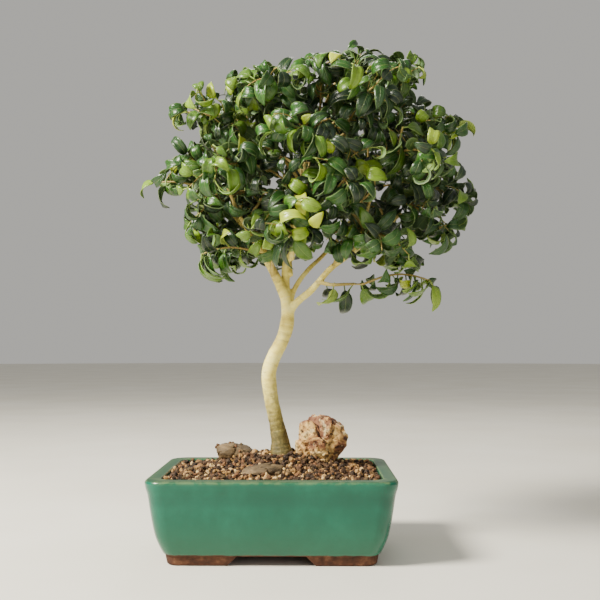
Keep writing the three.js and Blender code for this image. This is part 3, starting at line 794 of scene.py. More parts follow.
def crumbs(seed, places, sizes):
    """Points of angular grains at places, and the faces of one."""
    work = bmesh.new()
    bmesh.ops.create_icosphere(work, subdivisions=2, radius=1)
    ball = np.array([v.co[:] for v in work.verts])
    faces = [tuple(v.index for v in f.verts) for f in work.faces]
    work.free()
    rng = np.random.default_rng(seed)
    count = len(places)
    shapes = ball[None] * (1 + 0.34 * (rng.random((count, len(ball), 1)) - 0.5))
    planes = rng.normal(size=(count, 7, 3))
    planes /= np.linalg.norm(planes, axis=2)[..., None]
    reach = np.einsum("nvc,npc->nvp", shapes, planes)
    cut = 0.62 + 0.2 * rng.random((count, 1, 7))
    over = np.maximum(reach - cut, 0)
    shapes = shapes - np.einsum("nvp,npc->nvc", over, planes)
    turn = rng.normal(size=(count, 3, 3))
    turn, _ = np.linalg.qr(turn)
    stretch = mix(0.75, 1.25, rng.random((count, 1, 3)))
    shapes = np.einsum("nvc,ncd->nvd", shapes * stretch, turn)
    return shapes * sizes[:, None, None] + places[:, None, :], faces


def grain_places(rng, strewn_stone):
    """Places and sizes of the grains: one layer, part of a second, and a few strewn on a stone."""
    x, y = np.meshgrid(np.arange(-92, 92, GRAIN_PITCH), np.arange(-66, 66, GRAIN_PITCH * 0.87))
    x[1::2] += GRAIN_PITCH / 2
    x, y = x.ravel(), y.ravel()
    x = x + rng.normal(size=len(x)) * LAYER_JITTER[0]
    y = y + rng.normal(size=len(y)) * LAYER_JITTER[0]
    upper = rng.random(len(x)) < UPPER_LAYER_SHARE
    level = np.repeat(LAYER_LEVEL, (len(x), upper.sum()))
    x = np.concatenate([x, x[upper] + rng.normal(size=upper.sum()) * LAYER_JITTER[1]])
    y = np.concatenate([y, y[upper] + rng.normal(size=upper.sum()) * LAYER_JITTER[1]])
    size = mix(*GRAIN_SIZE, rng.random(len(x)) ** 1.6)
    z = mound_height(x, y) + level + 0.8 * rng.normal(size=len(x)) * 0.6
    keep = inside_cavity(x, y, 0.5 + size * 0.8)
    keep &= np.hypot(x - TRUNK_FOOT[0], y - TRUNK_FOOT[1]) > TRUNK_ROOM + size * 0.5
    on_stone = get_points(strewn_stone.data)
    on_stone = on_stone[on_stone[:, 2] > mound_height(on_stone[:, 0], on_stone[:, 1]) + 1.5]
    strewn = on_stone[rng.choice(len(on_stone), STREWN_GRAINS, replace=False)] + [0, 0, 0.3]
    places = np.concatenate([np.column_stack([x, y, z])[keep], strewn])
    return places, np.concatenate([size[keep], mix(*STREWN_SIZE, rng.random(STREWN_GRAINS))])


def bed_rings(rng):
    """Rings of the dark bed under the grains, from its lower edge to the middle of the mound."""
    half_x, half_y = POT_LENGTH / 2 - RIM_WIDTH - 0.4, POT_DEPTH / 2 - RIM_WIDTH - 0.4
    radius = CORNER_RADIUS - RIM_WIDTH * CORNER_TAPER
    rings = [rounded_ring(half_x, half_y, radius, SURFACE_LEVEL - BED_DEPTH)]
    for share in np.linspace(1, 0.02, BED_RINGS):
        ring = rounded_ring(half_x, half_y, radius, 0) * share
        bumps = rng.random(len(ring)) * 1.2
        ring[:, 2] = mound_height(ring[:, 0], ring[:, 1]) - 2.2 + bumps
        rings.append(ring)
    return rings


def make_gravel(strewn_stone):
    rng = np.random.default_rng(7)
    places, size = grain_places(rng, strewn_stone)
    tone = rng.random(len(size)) ** 1.35
    tone[-STREWN_GRAINS:] = mix(*STREWN_TONE, tone[-STREWN_GRAINS:])
    shapes, faces = crumbs(11, places, size)
    bed, front = Skin(), Skin()
    # the bed under the grains takes a dark tone, as painted shade in the gaps
    bed.add(*loft(bed_rings(rng)), tone=0.08)
    look = grain_look()
    half = len(size) // 2
    order = np.argsort(places[:, 1])
    for name, skin, chosen in (("gravel_bed", bed, order[half:]), ("gravel_front", front, order[:half])):
        for n in chosen:
            skin.add(shapes[n], faces, tone=tone[n])
        present(skin.make(name, look, smooth=False), "gravel")


# The tree's rule of growth, the same as the solids'


def draws(*keys):
    """A seeded random generator (Mulberry32) for one place, whose first key is the kind of thing drawn."""
    word = 0xFFFFFFFF
    state = SEED
    for key in keys:
        state = (state * 31 + key * 101 + 17) & word

    def draw():
        nonlocal state
        state = (state + 0x6D2B79F5) & word
        t = ((state ^ (state >> 15)) * (state | 1)) & word
        t ^= (t + ((t ^ (t >> 7)) * (t | 61) & word)) & word
        return ((t ^ (t >> 14)) & word) / 4294967296

    return draw


class Line:
    """A smooth line through its points, with any radii spread evenly along it."""

    def __init__(self, points, radii=()):
        self.points = np.array(points, float)
        self.radii = radii

    def point(self, t):
        p = self.points
        place = (len(p) - 1) * t
        i = min(int(place), len(p) - 2)
        w = place - i
        before = p[i - 1] if i > 0 else 2 * p[0] - p[1]
        after = p[i + 2] if i + 2 < len(p) else 2 * p[-1] - p[-2]
        t0 = 0.5 * (p[i + 1] - before)
        t1 = 0.5 * (after - p[i])
        c2 = -3 * p[i] + 3 * p[i + 1] - 2 * t0 - t1
        c3 = 2 * p[i] - 2 * p[i + 1] + t0 + t1
        return p[i] + t0 * w + c2 * w * w + c3 * w * w * w

    def tangent(self, t):
        return unit(self.point(min(t + 1e-4, 1)) - self.point(max(t - 1e-4, 0)))

    def radius(self, t):
        place = min(t, 0.99999) * (len(self.radii) - 1)
        i = int(place)
        return mix(self.radii[i], self.radii[i + 1], place - i)


class Twig:
    """A twig that arches from one place to another."""

    def __init__(self, start, end, arch, droop=LEAF_DROOP, thick=TWIG_RADIUS, thin=TWIG_TIP_RADIUS):
        self.start = np.asarray(start, float)
        self.end = np.asarray(end, float)
        self.arch = arch
        self.droop = droop
        self.length = float(np.linalg.norm(self.end - self.start))
        self.thick = thick
        self.thin = thin

    def point(self, s):
        return mix(self.start, self.end, s) + UP * (self.arch * self.length * math.sin(math.pi * s))

    def tangent(self, s):
        return unit(self.end - self.start + UP * (self.arch * self.length * math.pi * math.cos(math.pi * s)))


def crown_reach(angle):
    place = (angle / (2 * math.pi)) % 1 * len(CROWN_REACH)
    i = int(place)
    return mix(CROWN_REACH[i % len(CROWN_REACH)], CROWN_REACH[(i + 1) % len(CROWN_REACH)], place - i)


def fullness(a, b):
    return (abs(a) ** CROWN_POWER + abs(b) ** CROWN_POWER) ** (1 / CROWN_POWER)


def pruned_share(point):
    """How far out in the crown a point lies, where 1 is its surface."""
    x, y, z = point - CROWN_MIDDLE
    return fullness(math.hypot(x, z) / crown_reach(math.atan2(z, x)), y / CROWN_HALF_DEPTH)


def crown_point(direction):
    x, y, z = direction
    reach = crown_reach(math.atan2(z, x))
    reaches = np.array([reach, CROWN_HALF_DEPTH, reach])
    return CROWN_MIDDLE + reaches * direction / fullness(math.hypot(x, z), y)


def spray_lines():
    """Every spray's main twig: the upper ones, the skirt of the lowest tier, and those that stand out."""
    golden = math.pi * (3 - math.sqrt(5))
    lines = []
    for k in range(UPPER_COUNT):
        z = mix(HIGHEST, LOWEST, k / (UPPER_COUNT - 1))
        flat = math.sqrt(1 - z * z)
        tip = crown_point(np.array([flat * math.cos(k * golden), flat * math.sin(k * golden), z]))
        draw = draws(1, k)
        start = mix(CROWN_MIDDLE, tip, TWIG_SHARES[0] + 0.08 * (draw() - 0.5))
        end = mix(CROWN_MIDDLE, tip, TWIG_SHARES[1] + 0.08 * (draw() - 0.5))
        lines.append(Twig(start, end, mix(0.08, 0.18, draw())))
    for k in range(SKIRT_COUNT):
        draw = draws(6, k)
        angle = (k + 0.5 + 0.3 * (draw() - 0.5)) / SKIRT_COUNT * 2 * math.pi
        level = SKIRT_LEVEL + 8 * (draw() - 0.5)
        ends = []
        for reach, z in ((SKIRT_REACH[0], level + 8), (SKIRT_REACH[1], level)):
            away_x, away_y = reach * math.cos(angle), reach * math.sin(angle)
            ends.append((SKIRT_MIDDLE[0] + away_x, SKIRT_MIDDLE[1] + away_y, z))
        lines.append(Twig(*ends, mix(0.08, 0.16, draw())))
    return lines + [Twig(start, end, 0.12, droop) for start, end, droop in OUTSTANDING]


def side_twig(line, k, attempt):
    draw = draws(2, k, attempt)
    s = mix(0.25, 0.4, draw())
    start = line.point(s)
    along = line.tangent(s)
    side = unit(np.cross(along, UP)) * (-1 if (k + attempt) % 2 else 1)
    lift = mix(-0.1, 0.35, draw())
    out = unit(along * 0.62 + side * 0.78 + UP * lift)
    reach = min(38, 0.6 * line.length) * mix(0.85, 1.1, draw())
    return Twig(start, start + out * reach, 0.1, line.droop, TWIG_TIP_RADIUS)


def leaf_slots(twigs):
    """Where the solids' leaves leave the twigs: the twig, the place along it and the side."""
    places = [(0.97, 0.85, 0.73, 0.61, 0.49, 0.37, 0.25, 0.12)]
    if len(twigs) > 1:
        places = [(0.96, 0.8, 0.64, 0.48, 0.32, 0.16), (0.94, 0.66, 0.36)]
    slots = []
    for t, twig in enumerate(twigs):
        slots += [(twig, s, -1 if (i + t) % 2 else 1) for i, s in enumerate(places[t])]
    return slots


# Blades of leaves, by places along and across them
BLADE_STATIONS = (0.0, 0.06, 0.17, 0.3, 0.44, 0.58, 0.71, 0.83, 0.93, 1.0)
SMALL_BLADE_STATIONS = (0.0, 0.1, 0.28, 0.48, 0.68, 0.87, 1.0)
BLADE_COLUMNS = (-1.0, -0.52, 0.0, 0.52, 1.0)
BLADE_THICKNESS = 0.4
STALK_RADIUS = 0.55
STALK_TIP_RADIUS = 0.16

# The families of leaves. All but the solids' own have a length and a curl between two ends, and shares
# of the solids' width, stalk and twist.
SOLID_LEAVES = 3
EXTRA_LEAVES = 13
HANGING_LEAVES = 14
SMALL_LEAVES = 15
EXTRA_SPREAD = 1.9
FAMILIES = {
    EXTRA_LEAVES: ((18, 27), (1.7, 4.5), 0.94, 1.0, 2.0),
    HANGING_LEAVES: ((28, 33), (0.7, 2.4), 1.2, 1.0, 1.0),
    SMALL_LEAVES: ((11, 17), (1.0, 3.6), 0.62, 0.6, 1.0),
}


class Leaf:
    """A leaf's frame at the root of its stalk, and its sizes. Each try turns and curls it in another way."""

    def __init__(self, slot, family, k, i, attempt):
        twig, s, sign = slot
        draw = draws(family, k, i, attempt)
        spread = LEAF_SPREAD if family == SOLID_LEAVES else EXTRA_SPREAD

        def jitter(size):
            return (np.array([draw(), draw(), draw()]) - 0.5) * size

        self.root = twig.point(s)
        along = twig.tangent(s)
        side = unit(np.cross(along, UP)) * sign
        out = unit(self.root - CROWN_MIDDLE)
        aim = along * 0.35 + side * 0.55 + out * 0.3 - UP * twig.droop
        self.direction = unit(aim + jitter(spread + 0.1 * attempt))
        normal = UP * 0.5 + out * 0.85 + jitter(spread)
        self.normal = unit(normal - self.direction * (normal @ self.direction))
        self.petiole = mix(*PETIOLE, draw())
        self.length = mix(*LEAF_LENGTH, draw())
        self.half_width = mix(*LEAF_HALF_WIDTH, draw())
        self.curl = mix(*LEAF_CURL, draw())
        self.twist = mix(-0.35, 0.35, draw())
        if family == HANGING_LEAVES:
            self.direction = unit(side * 0.6 - UP * 0.9 + jitter(1.1))
            self.normal = unit(out - self.direction * (out @ self.direction))
        if family in FAMILIES:
            lengths, curls, width, stalk, twist = FAMILIES[family]
            self.length = mix(*lengths, draw())
            self.curl = mix(*curls, draw())
            self.half_width *= width
            self.petiole *= stalk
            self.twist *= twist
        self.stations = SMALL_BLADE_STATIONS if family == SMALL_LEAVES else BLADE_STATIONS
        self.place = s
        self.draw = draw

    def rib(self, s):
        """A point on the midrib, and the ways across and up from the blade there."""
        bend = self.curl * s
        radius = self.length / self.curl
        flat = np.cross(self.direction, self.normal)
        point = self.root + self.direction * (self.petiole + radius * math.sin(bend))
        point = point - self.normal * (radius * (1 - math.cos(bend)))
        tangent = self.direction * math.cos(bend) - self.normal * math.sin(bend)
        turn = self.twist * s
        across = flat * math.cos(turn) + np.cross(tangent, flat) * math.sin(turn)
        return point, across, np.cross(across, tangent)


def best_fork(target, boughs):
    """The point of a bough from which a branch to a target grows best."""
    best = None
    for line in boughs:
        for i in range(6, 20):
            t = i / 19.4
            point = line.point(t)
            tangent = line.tangent(t)
            way = target - point
            distance = math.sqrt(way @ way)
            cost = distance * (1.7 - way @ tangent / distance)
            if best is None or cost < best[0]:
                best = (cost, point, tangent, distance, line.radius(t))
    return best[1:]


def branch_to(twig, boughs, steps=12):
    """The line of a branch from its fork into the start of a spray, with its radii."""
    end = twig.tangent(0)
    stop = twig.start
    point, tangent, distance, thickness = best_fork(stop - 0.3 * end, boughs)
    handle = distance * 0.38
    leaving = unit(unit(stop - point) + tangent)
    second, third = point + leaving * handle, stop - end * handle
    thick = min(thickness * 0.8, 1.9)
    line = []
    for i in range(steps + 1):
        t = i / steps
        a, b, c, d = (1 - t) ** 3, 3 * t * (1 - t) ** 2, 3 * t * t * (1 - t), t**3
        line.append(a * point + b * second + c * third + d * stop)
    return np.array(line), np.linspace(thick, TWIG_RADIUS, steps + 1)


# Leaves as they are seen


def blade_faces(stations):
    """The faces of one leaf: its upper sheet, its lower sheet and its rim."""
    rows, columns = len(stations), len(BLADE_COLUMNS)
    lower = rows * columns
    faces = []
    for r in range(rows - 1):
        for c in range(columns - 1):
            a = r * columns + c
            faces.append((a, a + 1, a + columns + 1, a + columns))
            faces.append((lower + a, lower + a + columns, lower + a + columns + 1, lower + a + 1))
    border = [r * columns for r in range(rows)]
    border += [(rows - 1) * columns + c for c in range(1, columns)]
    border += [r * columns + columns - 1 for r in range(rows - 2, -1, -1)]
    border += [c for c in range(columns - 2, 0, -1)]
    for a, b in zip(border, border[1:] + border[:1]):
        faces.append((a, b, lower + b, lower + a))
    return faces


BLADE_FACES = {stations: blade_faces(stations) for stations in (BLADE_STATIONS, SMALL_BLADE_STATIONS)}


def leaf_outline(s):
    """The share of a leaf's greatest width at s, which draws out to a fine tip."""
    return s**0.6 * (1 - s) ** 0.92 / 0.3795


def blade_points(leaf):
    """The points of a leaf's upper sheet and its lower sheet, and the map of both."""
    draw = leaf.draw
    fold = mix(0.1, 0.65, draw())
    wave = mix(0.1, 0.75, draw())
    beats = mix(7, 13, draw())
    phase = mix(0, 6.3, draw())
    roll = mix(-0.1, 0.5, draw())
    upper, lower, places = [], [], []
    for s in leaf.stations:
        point, across, up = leaf.rib(s)
        half = max(leaf.half_width * leaf_outline(s), 0.3)
        fade = min(1, 6 * s) * min(1, 5 * (1 - s))
        for u in BLADE_COLUMNS:
            raised = (math.sqrt(u * u + 0.03) - 0.173) * math.sin(fold) * fade
            rolled = -roll * u * u * abs(u) * 0.8
            waved = wave * u * u * fade * math.sin(beats * s + phase + (1.1 if u > 0 else 0))
            place = point + across * (u * half * math.cos(fold * 0.6))
            place = place + up * (half * (raised + rolled) + waved)
            upper.append(place)
            lower.append(place - up * BLADE_THICKNESS)
            places.append((s, u * 0.5 + 0.5))
    return np.array(upper + lower), np.array(places + places)


def stalk_points(leaf):
    """The line and radii of a leaf's stalk, which runs on under the blade as its midrib."""
    line = [leaf.root - leaf.direction * 0.6, leaf.root + leaf.direction * leaf.petiole * 0.5]
    radii = [STALK_RADIUS * 1.25, STALK_RADIUS]
    for s in (0.0, 0.25, 0.5, 0.78):
        point, _, up = leaf.rib(s)
        line.append(point - up * BLADE_THICKNESS * 0.9)
        radii.append(mix(STALK_RADIUS, STALK_TIP_RADIUS, s))
    return line, radii


class Taken:
    """A record of the places that are taken, kept in cells, to keep leaves and wood apart."""

    def __init__(self, gap):
        self.gap = gap
        self.cells = {}

    def cell_of(self, point):
        return tuple(int(c // self.gap) for c in point)

    def near(self, point):
        """Whether a place within the gap from a point is taken."""
        for cell in product(*((c - 1, c, c + 1) for c in self.cell_of(point))):
            if any(((point - other) ** 2).sum() < self.gap**2 for other in self.cells.get(cell, ())):
                return True
        return False

    def add(self, points):
        for point in points:
            self.cells.setdefault(self.cell_of(point), []).append(point)


def leaf_samples(leaf):
    found = []
    for s in (0.15, 0.35, 0.55, 0.75, 0.97):
        point, across, _ = leaf.rib(s)
        half = leaf.half_width * leaf_outline(s) * 0.85
        found += [point, point + across * half, point - across * half]
    return np.array(found)


def node_tree_of(node):
    """A search tree of a solid's corners, in the pot's own millimetres."""
    points = get_points(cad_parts[node].data)
    tree = KDTree(len(points))
    for i, point in enumerate(points):
        tree.insert(point, i)
    tree.balance()
    return tree


def is_corner(tree, point):
    return tree.find(point)[2] < CORNER_NEARNESS


def solid_side_twig(line, k, corners):
    """The side twig that the solid has, found by the corner of its end that faces up."""
    if k % 3:
        return None
    for attempt in range(TRIES):
        twig = side_twig(line, k, attempt)
        chord = unit(twig.point(1) - twig.point(0))
        facing = UP if abs(chord[2]) < 0.8 else np.array([0.0, 1.0, 0.0])
        along = twig.tangent(1)
        side = unit(np.cross(facing, along))
        if is_corner(corners, twig.point(1) + np.cross(along, side) * TWIG_TIP_RADIUS):
            return twig
    return None


# The filling of the crown, with the limits to its pruned surface and the finer twigs' numbers and lengths
UPPER_LIMIT = 1.05
LOWER_LIMIT = 1.12
LOWEST_LEAF = 240.0
LEAF_GAP = 2.1
LEAF_TRIES = 14
FINE_TWIGS = 9
FINE_TWIG_LENGTH = (13, 34)
BARE_TWIGS = 13
BARE_TWIG_LENGTH = (11, 26)
TWIG_STEPS = 9
TWIG_SIDES = 6

# Open places in the crown that a twig of a spray grows into, with the spray's place in the list of sprays
OPEN_PLACES = (
    (15, (28, -64, 322)),
    (23, (44, -72, 282)),
    (23, (68, -60, 306)),
    (28, (36, -62, 284)),
    (34, (28, -60, 250)),
    (35, (44, -52, 262)),
    (35, (66, -52, 284)),
    (35, (64, -40, 256)),
    (35, (52, -42, 247)),
    (6, (12, 46, 376)),
    (3, (24, 44, 384)),
    (19, (6, 50, 344)),
    (11, (18, 46, 352)),
    (27, (4, 48, 312)),
)

# The low spray on the right also has leaves on the bough that leads to it
LOW_SPRAY = UPPER_COUNT + SKIRT_COUNT + 2
LOW_BOUGH = Twig((44, -10, 229.5), (76, -25, 228.3), 0.0, HANGING_DROOP)

# Where young shoots have come out pale, with how far each one reaches
YOUNG_SHOOTS = (
    ((-88, -20, 348), 17),
    ((-23, -50, 375), 27),
    ((118, -40, 333), 15),
    ((81, -70, 308), 15),
    ((101, -60, 310), 10),
    ((25, -80, 273), 15),
    ((138, -30, 206), 16),
)


def youth(point):
    """How young a leaf is, from 0 to 1, by how near it lies to a young shoot."""
    return max(math.exp(-(((point - place) / reach) ** 2).sum()) for place, reach in YOUNG_SHOOTS)


def leaf_tones(leaf):
    """A leaf's age, from old at 0 to young at 1, and its shade, which is deepest inside the crown."""
    draw = leaf.draw
    middle = leaf.rib(0.5)[0]
    share = pruned_share(middle)
    patch = noise.noise(Vector(middle) / 42)
    age = 0.08 + 0.4 * draw() + 0.45 * max(patch, 0) + (0.16 * draw() if leaf.place > 0.85 else 0)
    age += 0.4 if draw() < 0.06 else 0
    age *= clamp(0.25 + 0.8 * share, 0.4, 1.1)
    age += 0.6 * youth(middle) * mix(0.1, 1.0, draw())
    return clamp(age, 0.02, 0.97), clamp(0.35 * draw() + 1.5 * (0.86 - share), 0, 1)


def alternate(twig, places):
    """Slots for leaves along a twig, on one side and the other in turn."""
    return [(twig, s, 1 if j % 2 else -1) for j, s in enumerate(places)]


class Spray:
    """A spray's twigs and leaves: those of its solid, then the finer ones that fill it."""

    def __init__(self, k, line):
        self.k = k
        self.line = line
        self.node = "spray_%02d" % (k + 1)
        corners = node_tree_of(self.node)
        side = solid_side_twig(line, k, corners)
        self.twigs = [line] + ([side] if side else [])
        self.leaves = []
        for i, slot in enumerate(leaf_slots(self.twigs)):
            for attempt in range(TRIES):
                leaf = Leaf(slot, SOLID_LEAVES, k, i, attempt)
                if is_corner(corners, leaf.rib(1)[0]):
                    self.leaves.append(leaf)
                    break

    def keeps(self, points):
        """Whether points lie where this spray may grow."""
        if self.k < UPPER_COUNT:
            return all(pruned_share(p) < UPPER_LIMIT for p in points)
        return all(p[2] > LOWEST_LEAF and pruned_share(p) < LOWER_LIMIT for p in points)

    def fine_twigs(self):
        """Side twigs all along the spray, and those that grow into open places."""
        twigs = []
        for j in range(FINE_TWIGS):
            draw = draws(12, self.k, j)
            s = 0.06 + 0.88 * (j + draw()) / FINE_TWIGS
            along = self.line.tangent(s)
            side = unit(np.cross(along, UP)) * (1 if j % 2 else -1)
            out = unit(along * 0.6 + side * mix(0.4, 1.0, draw()) + UP * mix(-0.7, 0.8, draw()))
            start = self.line.point(s)
            end = start + out * mix(*FINE_TWIG_LENGTH, draw())
            twigs.append(Twig(start, end, 0.12, self.line.droop, 0.75, 0.5))
        for k, end in OPEN_PLACES:
            if k == self.k:
                starts = [self.line.point(s) for s in np.linspace(0, 1, 21)]
                start = min(starts, key=lambda p: np.linalg.norm(p - end))
                twigs.append(Twig(start, end, 0.12, self.line.droop, 0.9, 0.5))
        return twigs

    def bare_twigs(self):
        """Finer twigs in any direction, which carry few leaves."""
        twigs = []
        for j in range(BARE_TWIGS):
            draw = draws(16, self.k, j)
            s = mix(0.0, 0.85, (j + draw()) / BARE_TWIGS)
            way = unit(np.array([draw(), draw(), draw() + 0.1]) - 0.5)
            start = self.line.point(s)
            end = start + way * mix(*BARE_TWIG_LENGTH, draw())
            twigs.append(Twig(start, end, mix(-0.15, 0.2, draw()), LEAF_DROOP, 0.5, 0.32))
        return twigs

    def grow(self, twigs, checked, taken):
        """Adds each twig that has room at all the checked places along it, and returns those."""
        grown = []
        for twig in twigs:
            points = np.array([twig.point(t) for t in checked])
            if self.keeps(points[-1:]) and not any(taken.near(p) for p in points):
                taken.add(points)
                grown.append(twig)
        self.twigs += grown
        return grown

    def add_leaves(self, slots, family, taken, within):
        """Adds a leaf at each slot where one of several tries has room."""
        for i, slot in enumerate(slots):
            for attempt in range(LEAF_TRIES):
                leaf = Leaf(slot, family, self.k, i, attempt)
                samples = leaf_samples(leaf)
                if within and not self.keeps(samples) or any(taken.near(p) for p in samples):
                    continue
                taken.add(samples)
                self.leaves.append(leaf)
                break

    def fill(self, taken):
        """Adds finer twigs and more leaves wherever there is room."""
        slots = alternate(self.line, (1.0, 0.91, 0.79, 0.67, 0.55, 0.43, 0.31, 0.19))
        for twig in self.grow(self.fine_twigs(), (0.25, 0.5, 0.75, 1.0), taken):
            last = max(5, int(twig.length / 5)) - 1
            slots += alternate(twig, [1 - 0.8 * i / last for i in range(last + 1)])
        self.add_leaves(slots, EXTRA_LEAVES, taken, True)
        slots = alternate(self.line, (0.08, 0.25, 0.5, 0.73, 0.88))
        for twig in self.grow(self.bare_twigs(), (0.3, 0.5, 0.7, 0.85, 1.0), taken):
            slots += alternate(twig, (1.0, 0.6))
        self.add_leaves(slots, SMALL_LEAVES, taken, True)

    def fill_outstanding(self, taken):
        """Adds leaves to a spray that stands out of the crown, and large hanging ones to one that hangs."""
        if self.line.droop != HANGING_DROOP:
            self.add_leaves(alternate(self.line, (1.0, 0.94)), EXTRA_LEAVES, taken, False)
            return
        slots = alternate(self.line, (1.0, 0.97, 0.88, 0.76))
        if self.k == LOW_SPRAY:
            slots += alternate(LOW_BOUGH, (0.02, 0.25, 0.5, 0.75, 0.95))
        self.add_leaves(slots, HANGING_LEAVES, taken, False)
        level = Twig(self.line.start, self.line.end, self.line.arch, 0.0)
        self.add_leaves(alternate(level, (0.1, 0.25, 0.4, 0.55, 0.7, 0.85)), EXTRA_LEAVES, taken, False)

    def make_leaves(self, look):
        leaves = Skin()
        for leaf in self.leaves:
            age, shade = leaf_tones(leaf)
            points, places = blade_points(leaf)
            under = np.repeat([0.0, 1.0], len(points) // 2)
            leaves.add(points, BLADE_FACES[leaf.stations], places, age=age, shade=shade, under=under)
            stalk, faces = tube(*stalk_points(leaf), 4)
            on_rib = np.tile([0.3, 0.5], (len(stalk), 1))
            leaves.add(stalk, faces, on_rib, age=min(age + 0.2, 0.95), shade=shade * 0.5, under=0.6)
        present(leaves.make(self.node + "_leaves", look), self.node)

    def make_twigs(self, look):
        twigs = Skin()
        for twig in self.twigs:
            line = [twig.point(i / TWIG_STEPS) for i in range(TWIG_STEPS + 1)]
            line[0] = line[0] - 0.8 * twig.tangent(0)
            radii = np.linspace(twig.thick * 0.9, twig.thin * 0.75, TWIG_STEPS + 1)
            radii[-1] *= 0.6
            along = np.repeat(np.arange(TWIG_STEPS + 1) * twig.length / TWIG_STEPS, TWIG_SIDES)
            twigs.add(*tube(line, radii, TWIG_SIDES), along=along, girth=np.repeat(radii, TWIG_SIDES))
        present(twigs.make(self.node + "_twigs", look), self.node)


def wood_limbs(lines):
    """The points, radii and sides of the trunk, the boughs and the branches that lead to the sprays."""
    boughs = [Line(*bough) for bough in BOUGHS]
    limbs = []
    for line, steps in ((Line(*TRUNK), 60), *((bough, 30) for bough in boughs)):
        ts = [i / steps for i in range(steps + 1)]
        limbs.append((np.array([line.point(t) for t in ts]), np.array([line.radius(t) for t in ts]), 16))
    return limbs + [(*branch_to(twig, boughs), 10) for twig in lines]


def wood_facts(limbs):
    """A search tree of places along the wood, with the distance along and the girth at each."""
    search = KDTree(sum(len(points) * 4 for points, _, _ in limbs))
    facts = []
    for points, radii, _ in limbs:
        run = np.concatenate([[0], np.cumsum(np.linalg.norm(np.diff(points, axis=0), axis=1))])
        for place in np.linspace(0, len(points) - 1, len(points) * 4):
            i = min(int(place), len(points) - 2)
            search.insert(mix(points[i], points[i + 1], place - i), len(facts))
            facts.append((mix(run[i], run[i + 1], place - i), mix(radii[i], radii[i + 1], place - i)))
    search.balance()
    return search, facts


def make_tree(limbs, look):
    """The trunk, boughs and branches as one skin, with rings of bark along them."""
    skin = Skin()
    for limb in limbs:
        skin.add(*tube(*limb))
    tree = skin.make("tree_wood", look)
    remesh = tree.modifiers.new("union", "REMESH")
    remesh.mode = "VOXEL"
    remesh.voxel_size = TREE_VOXEL * MM
    smooth = tree.modifiers.new("smooth", "SMOOTH")
    smooth.factor = 0.5
    smooth.iterations = 3
    apply_modifiers(tree)
    mesh = tree.data
    points = get_points(mesh)
    normals = np.zeros(len(points) * 3, np.float32)
    mesh.vertex_normals.foreach_get("vector", normals)
    along, girth, push = np.zeros((3, len(points)))
    search, facts = wood_facts(limbs)
    for i, point in enumerate(points):
        along[i], girth[i] = facts[search.find(point)[1]]
        ring = noise.noise(Vector((point[0] * 0.03, point[1] * 0.03, along[i] * 0.42)))
        lump = noise.noise(Vector(point) / 7)
        push[i] = min(girth[i] / 6.4, 1) * (0.22 * ring + 0.35 * lump)
    set_points(mesh, points + normals.reshape(-1, 3) * push[:, None])
    set_values(mesh, "along", along)
    set_values(mesh, "girth", girth)
    mesh.polygons.foreach_set("use_smooth", [True] * len(mesh.polygons))
    set_material(mesh, look)
    present(tree, "tree")


def make_crown():
    lines = spray_lines()
    bark = bark_look()
    limbs = wood_limbs(lines)
    make_tree(limbs, bark)
    sprays = [Spray(k, line) for k, line in enumerate(lines)]
    taken = Taken(LEAF_GAP)
    for points, _, _ in limbs:
        taken.add(points)
    for spray in sprays:
        for twig in spray.twigs:
            taken.add([twig.point(s) for s in np.linspace(0, 1, 12)])
        for leaf in spray.leaves:
            taken.add(leaf_samples(leaf))
    for spray in sprays[: -len(OUTSTANDING)]:
        spray.fill(taken)
    for spray in sprays[-len(OUTSTANDING) :]:
        spray.fill_outstanding(taken)
    look = leaf_look()
    for spray in sprays:
        spray.make_leaves(look)
        spray.make_twigs(bark)


# Surroundings


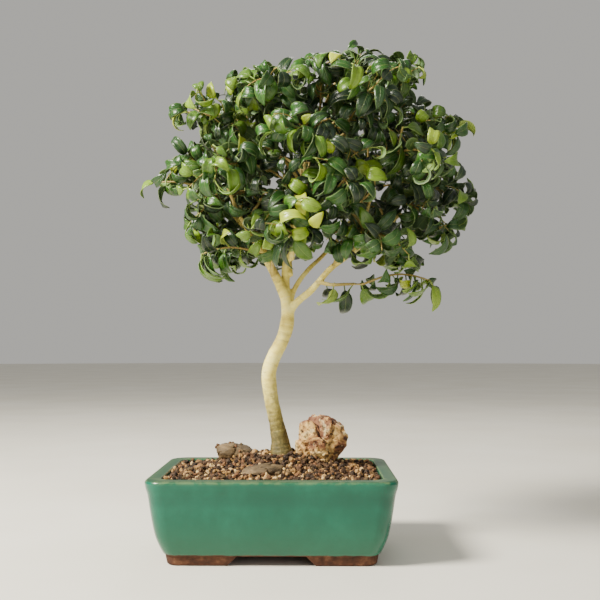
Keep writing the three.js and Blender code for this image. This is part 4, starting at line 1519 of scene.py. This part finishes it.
def make_camera():
    data = bpy.data.cameras.new("camera")
    data.sensor_width = 36
    data.lens = CAMERA_LENS
    camera = add_object("camera", data)
    camera.location = to_frame(CAMERA_PLACE)
    camera.rotation_euler = (math.pi / 2 + CAMERA_PITCH, 0, CAMERA_YAW)
    bpy.context.scene.camera = camera


def make_light(name, place, target, size, power, tint):
    data = bpy.data.lights.new(name, "AREA")
    data.shape = "DISK"
    data.size = size
    data.energy = power
    data.color = tint
    light = add_object(name, data)
    light.location = place
    light.rotation_euler = (Vector(target) - Vector(place)).to_track_quat("-Z", "Y").to_euler()


def make_floor():
    angles = 2 * math.pi * np.arange(FLOOR_SIDES) / FLOOR_SIDES
    rim = [(FLOOR_RADIUS * math.cos(a), FLOOR_RADIUS * math.sin(a), 0.0) for a in angles]
    mesh = bpy.data.meshes.new("floor")
    mesh.from_pydata(rim, [], [tuple(range(FLOOR_SIDES))])
    look = Look("floor", Roughness=0.75, Specular_IOR_Level=0.2)
    tone = look.ramp(look.noise(220, 3), (0.3, (222, 218, 206)), (0.7, (230, 227, 217)))
    mesh.materials.append(look.finish(tone))
    add_object("floor", mesh)


def make_studio():
    make_floor()
    world = bpy.data.worlds.new("studio")
    world.use_nodes = True
    background = world.node_tree.nodes["Background"]
    background.inputs[0].default_value = colour(228, 226, 220)
    background.inputs[1].default_value = WORLD_STRENGTH
    bpy.context.scene.world = world
    for name, facts in LIGHTS.items():
        make_light(name, *facts)


def make_stones():
    """The three stones. Returns the one that has some gravel strewn on it."""
    pale, tan = pale_stone_look(), tan_stone_look()
    ledges = {"seed": 5, "planes": 15, "facet": 15.0, "tilt": 0.34, "rough": 0.5}
    front = {"seed": 9, "planes": 6, "facet": 13.0, "tilt": 0.1, "rough": 0.3}
    back = {"seed": 8, "planes": 4, "facet": 16.0, "tilt": 0.05, "rough": 0.3}
    make_stone("feature_stone", "pale_stone", pale, **ledges)
    make_stone("flat_stone_front", "tan_stone", tan, **front)
    return make_stone("flat_stone_back", "tan_stone", tan, **back)


make_studio()
make_camera()
make_pot()
make_gravel(make_stones())
make_crown()
plastic = plastic_look()
for node, look in (("soil", soil_look()), ("drain_screen_left", plastic), ("drain_screen_right", plastic)):
    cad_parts[node].material_slots[0].material = look
